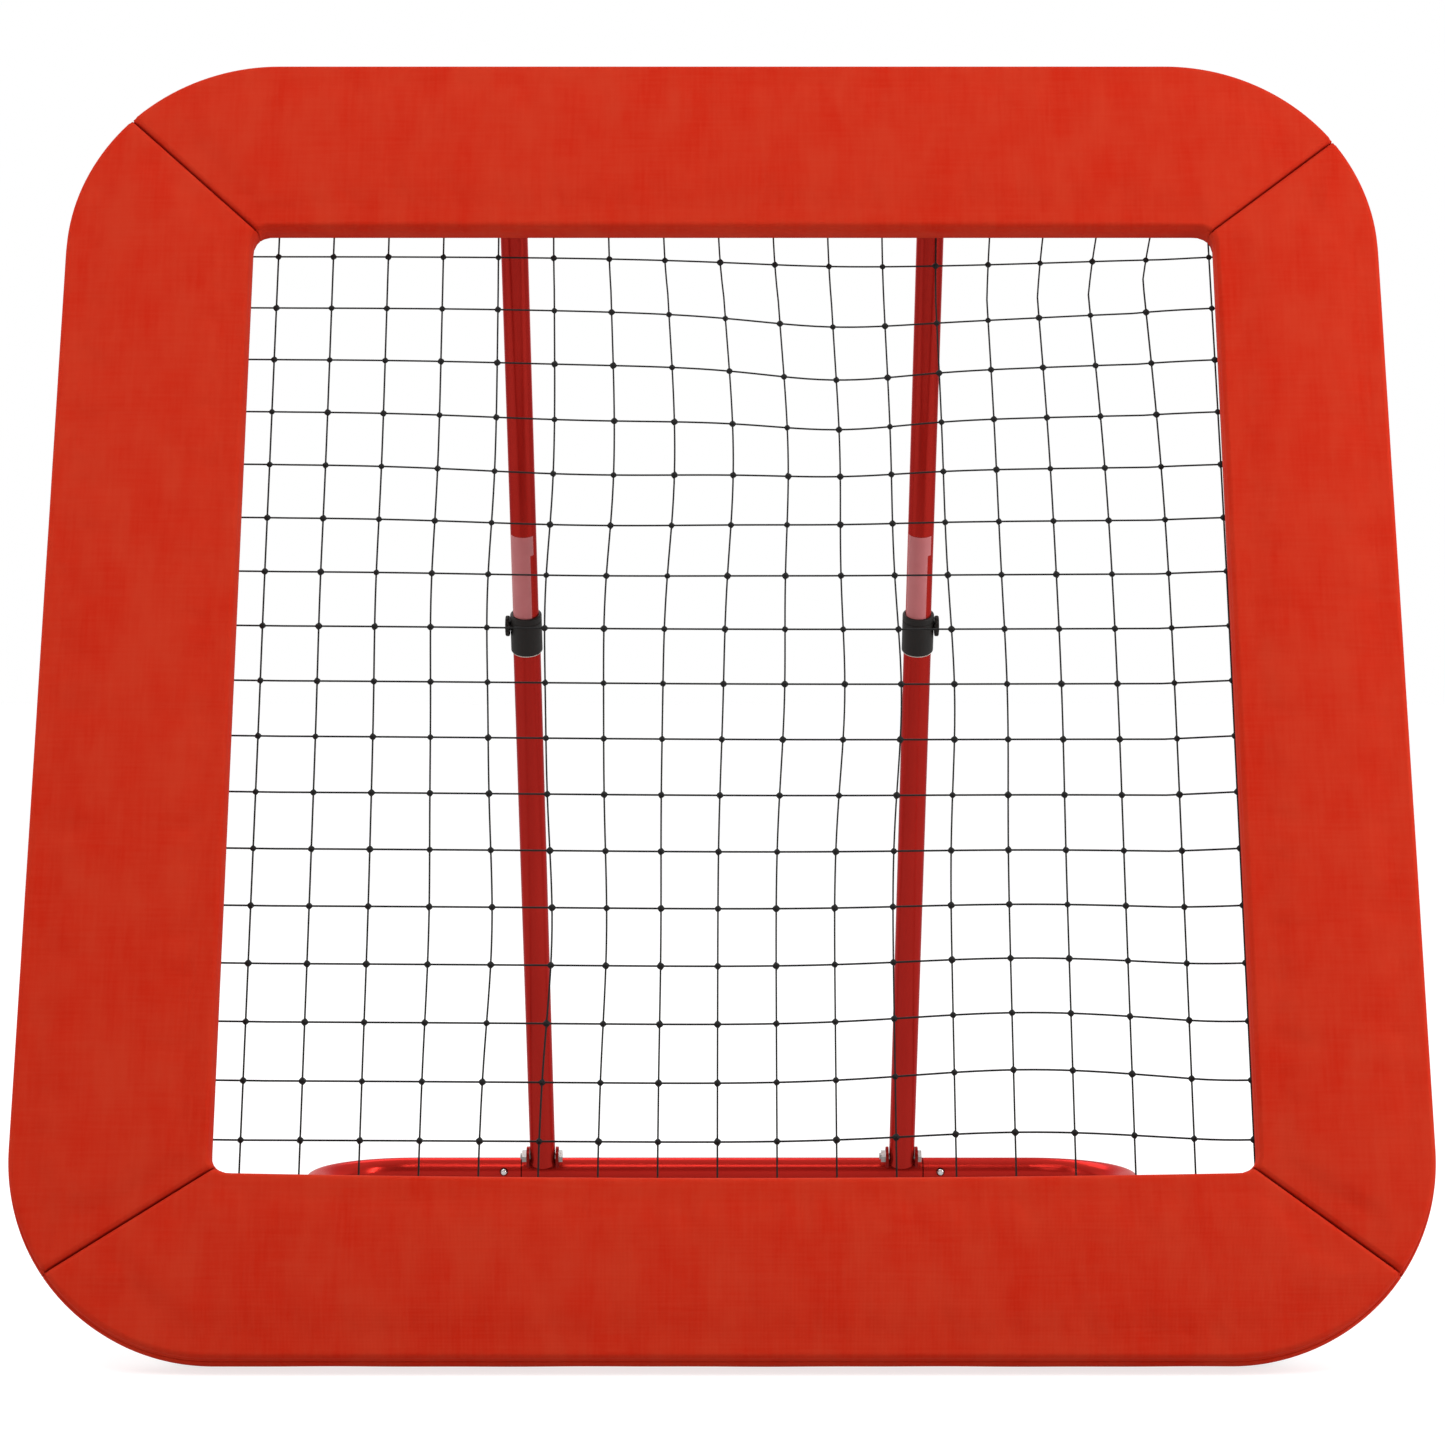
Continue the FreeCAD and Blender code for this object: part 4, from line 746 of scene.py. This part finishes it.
def net_point(x, s):
    """Where a point of the flat net hangs, in the face's own frame."""
    to_rope = min(ROPE_HALF - abs(x), s - ROPE_LOW, ROPE_HIGH - s)
    hold = max(0.0, min(1.0, to_rope / ROPE_HOLD))
    dx = ds = 0.0
    for (cx, cs), (wx, ws), (pull_x, pull_s) in SLACK:
        share = hold * math.exp(-((x - cx) / wx) ** 2 - ((s - cs) / ws) ** 2)
        dx += share * pull_x
        ds += share * pull_s
    belly = BELLY * math.exp(-(x / BELLY_SPREAD) ** 2 - ((s - BELLY_UP) / BELLY_SPREAD) ** 2)
    return x + dx, s + ds, NET_DEPTH + belly * hold


def sweep(points, radius, sides, closed=False):
    """A round cord along a line of points: vertices and faces."""
    line = np.array(points, float)
    ahead = np.roll(line, -1, axis=0) - np.roll(line, 1, axis=0)
    if not closed:
        ahead[0] = line[1] - line[0]
        ahead[-1] = line[-1] - line[-2]
    ahead /= np.linalg.norm(ahead, axis=1)[:, None]
    normal = np.cross(ahead[0], (0.31, 0.74, 0.59))
    normal /= np.linalg.norm(normal)
    verts = []
    for k in range(len(line)):
        normal = normal - ahead[k] * (normal @ ahead[k])
        normal /= np.linalg.norm(normal)
        other = np.cross(ahead[k], normal)
        for m in range(sides):
            angle = 2 * math.pi * m / sides
            verts.append(line[k] + radius * (math.cos(angle) * normal + math.sin(angle) * other))
    faces = []
    for k in range(len(line) if closed else len(line) - 1):
        a, b = k * sides, ((k + 1) % len(line)) * sides
        for m in range(sides):
            n = (m + 1) % sides
            faces.append((a + m, a + n, b + n, b + m))
    if not closed:
        faces.append(tuple(reversed(range(sides))))
        faces.append(tuple(range((len(line) - 1) * sides, len(line) * sides)))
    return verts, faces


def gather(parts):
    """Join lists of vertices and faces."""
    verts, faces = [], []
    for part_verts, part_faces in parts:
        base = len(verts)
        verts += [tuple(v) for v in part_verts]
        faces += [tuple(base + k for k in f) for f in part_faces]
    return verts, faces


def solid_piece(name, parts, material, body):
    """A smooth mesh piece that rides on a body."""
    piece = new_piece(name, *gather(parts))
    piece.data.materials.append(material)
    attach(piece, body)
    return piece


CORD_R, CORD_STATIONS, ROUND = 0.0007, 76, 6
strands = []
for x in COLUMNS:
    stations = np.linspace(ROPE_LOW, ROPE_HIGH, CORD_STATIONS)
    strands.append(sweep([on_face(*net_point(x, s)) for s in stations], CORD_R, ROUND))
for s in ROWS:
    stations = np.linspace(-ROPE_HALF, ROPE_HALF, CORD_STATIONS)
    strands.append(sweep([on_face(*net_point(x, s)) for x in stations], CORD_R, ROUND))

# A knot: a ball drawn out towards its four cords, with two wraps of cord crossed over it.
# Sizes are in mm, except the wrap's cord, which is in metres.
KNOT_SIZE, KNOT_POINTED, KNOT_FULL = (2.5, 2.5, 1.6), 0.65, 1.25
WRAP_ACROSS, WRAP_OVER, WRAP_LEAN, WRAP_CORD, WRAP_POINTS = 1.7, 1.45, 0.785, 0.0005, 10
knot_ball = bmesh.new()
bmesh.ops.create_icosphere(knot_ball, subdivisions=2, radius=1.0)
ball_verts = np.array([v.co for v in knot_ball.verts])
ball_faces = [tuple(v.index for v in f.verts) for f in knot_ball.faces]
knot_ball.free()
squareness = np.abs(ball_verts).sum(1)[:, None]
diamond = ball_verts / squareness * KNOT_FULL * KNOT_POINTED + ball_verts * (1.0 - KNOT_POINTED)
knot_rng = np.random.default_rng(5)
for x in COLUMNS:
    for s in ROWS:
        cx, cs, cd = net_point(x, s)
        size = np.array(KNOT_SIZE) * knot_rng.uniform(0.9, 1.08)
        lean = knot_rng.uniform(-0.25, 0.25)
        shape = diamond * size
        turned = np.stack([shape[:, 0] * math.cos(lean) - shape[:, 1] * math.sin(lean),
                           shape[:, 0] * math.sin(lean) + shape[:, 1] * math.cos(lean), shape[:, 2]], 1)
        strands.append(([on_face(cx + a, cs + b, cd + c) for a, b, c in turned], ball_faces))
        for tilt in (WRAP_LEAN, -WRAP_LEAN):
            wrap = []
            for k in range(WRAP_POINTS):
                angle = 2 * math.pi * k / WRAP_POINTS
                out, over = WRAP_ACROSS * math.cos(angle), WRAP_OVER * math.sin(angle)
                wrap.append(on_face(cx + out * math.cos(tilt + lean), cs + out * math.sin(tilt + lean), cd + over))
            strands.append(sweep(wrap, WRAP_CORD, 5, closed=True))

net_cord, net_tree, net_shader, net_fibre = clouded_material(
    "net_cord", (0.006, 0.006, 0.006, 1.0), (0.022, 0.022, 0.022, 1.0), (0.6, 0.85), 1500.0, 3.0,
    Specular_IOR_Level=0.2)
emboss(net_tree, net_shader, net_fibre, 0.5, 0.0003)
net = solid_piece("knotted_net", strands, net_cord, "frame")
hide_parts("net")

# Edge rope: three strands of black cord laid round each other, in one loop round the net,
# which the rings of the springs pull outwards. Sizes are in mm.
ROPE_CORNER, ROPE_STEP, LAY_PITCH = 25.0, 1.6, 13.0
STRAND_OFFSET, STRAND_R = 1.5, 1.6
rope_loop = rounded_loop(-ROPE_HALF, ROPE_HALF, ROPE_LOW, ROPE_HIGH, ROPE_CORNER, ROPE_CORNER, ROPE_STEP)
rope_run = np.concatenate([[0.0], np.cumsum(np.linalg.norm(np.diff(rope_loop, axis=0), axis=1))])
rope_round = rope_run[-1] + ROPE_STEP
turns = round(rope_round / LAY_PITCH)
rope_way = np.roll(rope_loop, -1, axis=0) - np.roll(rope_loop, 1, axis=0)
rope_way /= np.linalg.norm(rope_way, axis=1)[:, None]
rope_strands = []
for strand in range(3):
    line = []
    for (x, s), (tx, ts), reach in zip(rope_loop, rope_way, rope_run):
        angle = 2 * math.pi * (turns * reach / rope_round + strand / 3)
        out, over = STRAND_OFFSET * math.cos(angle), STRAND_OFFSET * math.sin(angle)
        line.append(on_face(x + ts * out, s - tx * out, NET_DEPTH + over))
    rope_strands.append(sweep(line, 0.001 * STRAND_R, ROUND, closed=True))
rope = solid_piece("net_edge_rope", rope_strands, net_cord, "frame")
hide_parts("net_border_rope")

# Springs: thirty-two extension springs of coiled wire pull the rope out to the frame. One
# end hooks into a hole in the tube, the other is a ring round the rope. Sizes are in mm, along
# the face, except the wire's radius, which is in metres.
TUBE_X, TUBE_LOW, TUBE_HIGH, TUBE_MID, TUBE_R = 462.5, 17.5, 937.5, 477.5, 12.5
COIL_FROM, COIL_TO, COIL_R, COIL_TURNS, TURN_POINTS = 9.0, 62.0, 4.0, 24, 12
HOOK_FORWARD = (-4.0, 1.0, 6.0)
RING_R, RING_POINTS, RING_SHARE = 4.3, 10, 0.92
WIRE_R = 0.00095
SPRING_COUNT, SPRING_PITCH, SPRING_FIRST = 8, 80.0, -280.0
spring_steel = clouded_material("spring_steel", (0.42, 0.43, 0.45, 1.0), (0.70, 0.70, 0.70, 1.0),
                                (0.25, 0.45), 300.0, 4.0, Metallic=1.0)[0]


def spring_line(seat, aim, gap):
    """Centre line of one spring: hook, coil and ring, in the face's own frame."""
    aim = np.array(aim, float)
    side = np.array([-aim[1], aim[0]])
    start, stop = TUBE_R + COIL_FROM, TUBE_R + COIL_TO
    points = [(TUBE_R + forward, 0.0, 0.0) for forward in HOOK_FORWARD]
    count = COIL_TURNS * TURN_POINTS
    for k in range(count + 1):
        angle = 2 * math.pi * k / TURN_POINTS
        points.append((start + (stop - start) * k / count, COIL_R * math.cos(angle), COIL_R * math.sin(angle)))
    points.append((stop + 2.0, 1.0, 0.0))
    points.append(((stop + gap - RING_R) / 2 + 1.0, 0.0, 0.0))
    for k in range(RING_POINTS + 1):
        angle = math.pi - 2 * math.pi * RING_SHARE * k / RING_POINTS
        points.append((gap + RING_R * math.cos(angle), 0.0, RING_R * math.sin(angle)))
    placed = []
    for forward, across, behind in points:
        plan = np.array(seat) + aim * forward + side * across
        placed.append(on_face(plan[0], plan[1], NET_DEPTH + behind))
    return placed


for side, aim, gap in (("top", (0, -1), TUBE_HIGH - ROPE_HIGH), ("bottom", (0, 1), ROPE_LOW - TUBE_LOW),
                       ("left", (1, 0), TUBE_X - ROPE_HALF), ("right", (-1, 0), TUBE_X - ROPE_HALF)):
    coils = []
    for step in range(SPRING_COUNT):
        offset = SPRING_FIRST + SPRING_PITCH * step
        seat = {"top": (offset, TUBE_HIGH), "bottom": (offset, TUBE_LOW),
                "left": (-TUBE_X, TUBE_MID + offset), "right": (TUBE_X, TUBE_MID + offset)}[side]
        coils.append(sweep(spring_line(seat, aim, gap), WIRE_R, ROUND))
    coil_piece = solid_piece("springs_" + side, coils, spring_steel, "frame")
    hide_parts("net_springs_" + side)

# Straps: eight short loops of black webbing tie the pads to the frame tube, with the tail
# lapped over and held by hook and loop. Sizes are in mm; angles are shares of a turn.
webbing = cloth_material("black_webbing", (0.010, 0.010, 0.011, 1.0), (0.022, 0.022, 0.023, 1.0),
                         (0.034, 0.034, 0.034, 1.0), 1.4, 0.75, 0.02)
STRAP_AT, STRAP_HALF, STRAP_EDGE, STRAP_THICK, STRAP_UNDER = 230.0, 12.5, 0.6, 0.95, -0.05
STRAP_R, STRAP_POINTS, STRAP_FROM, STRAP_ROUND = 12.75, 46, 0.08, 1.16
LAP_RISE, LAP_FROM, LAP_OVER = 1.25, 0.78, 0.12
STRAP_SECTION = ((-STRAP_HALF, 0.0), (-STRAP_HALF + STRAP_EDGE, STRAP_THICK),
                 (STRAP_HALF - STRAP_EDGE, STRAP_THICK), (STRAP_HALF, 0.0),
                 (STRAP_HALF - STRAP_EDGE, STRAP_UNDER), (-STRAP_HALF + STRAP_EDGE, STRAP_UNDER))
strap_parts = []
for offset in (-STRAP_AT, STRAP_AT):
    for cx, cs, way in ((offset, TUBE_HIGH, (1, 0)), (offset, TUBE_LOW, (1, 0)),
                        (-TUBE_X, TUBE_MID + offset, (0, 1)), (TUBE_X, TUBE_MID + offset, (0, 1))):
        side = (way[1], way[0])
        ring = []
        for k in range(STRAP_POINTS + 1):
            share = k / STRAP_POINTS
            angle = 2 * math.pi * (STRAP_FROM + STRAP_ROUND * k / STRAP_POINTS)
            radius = STRAP_R + LAP_RISE * max(0.0, min(1.0, (share - LAP_FROM) / LAP_OVER))
            for along, thick in STRAP_SECTION:
                out, over = (radius + thick) * math.cos(angle), (radius + thick) * math.sin(angle)
                ring.append(on_face(cx + side[0] * out + way[0] * along, cs + side[1] * out + way[1] * along,
                                    NET_DEPTH + over))
        sides = len(STRAP_SECTION)
        faces = [(k * sides + m, k * sides + (m + 1) % sides,
                  (k + 1) * sides + (m + 1) % sides, (k + 1) * sides + m)
                 for k in range(STRAP_POINTS) for m in range(sides)]
        faces += [tuple(range(sides)), tuple(reversed(range(STRAP_POINTS * sides, (STRAP_POINTS + 1) * sides)))]
        strap_parts.append((ring, faces))
straps = solid_piece("webbing_straps", strap_parts, webbing, "frame")
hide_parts("pad_straps")
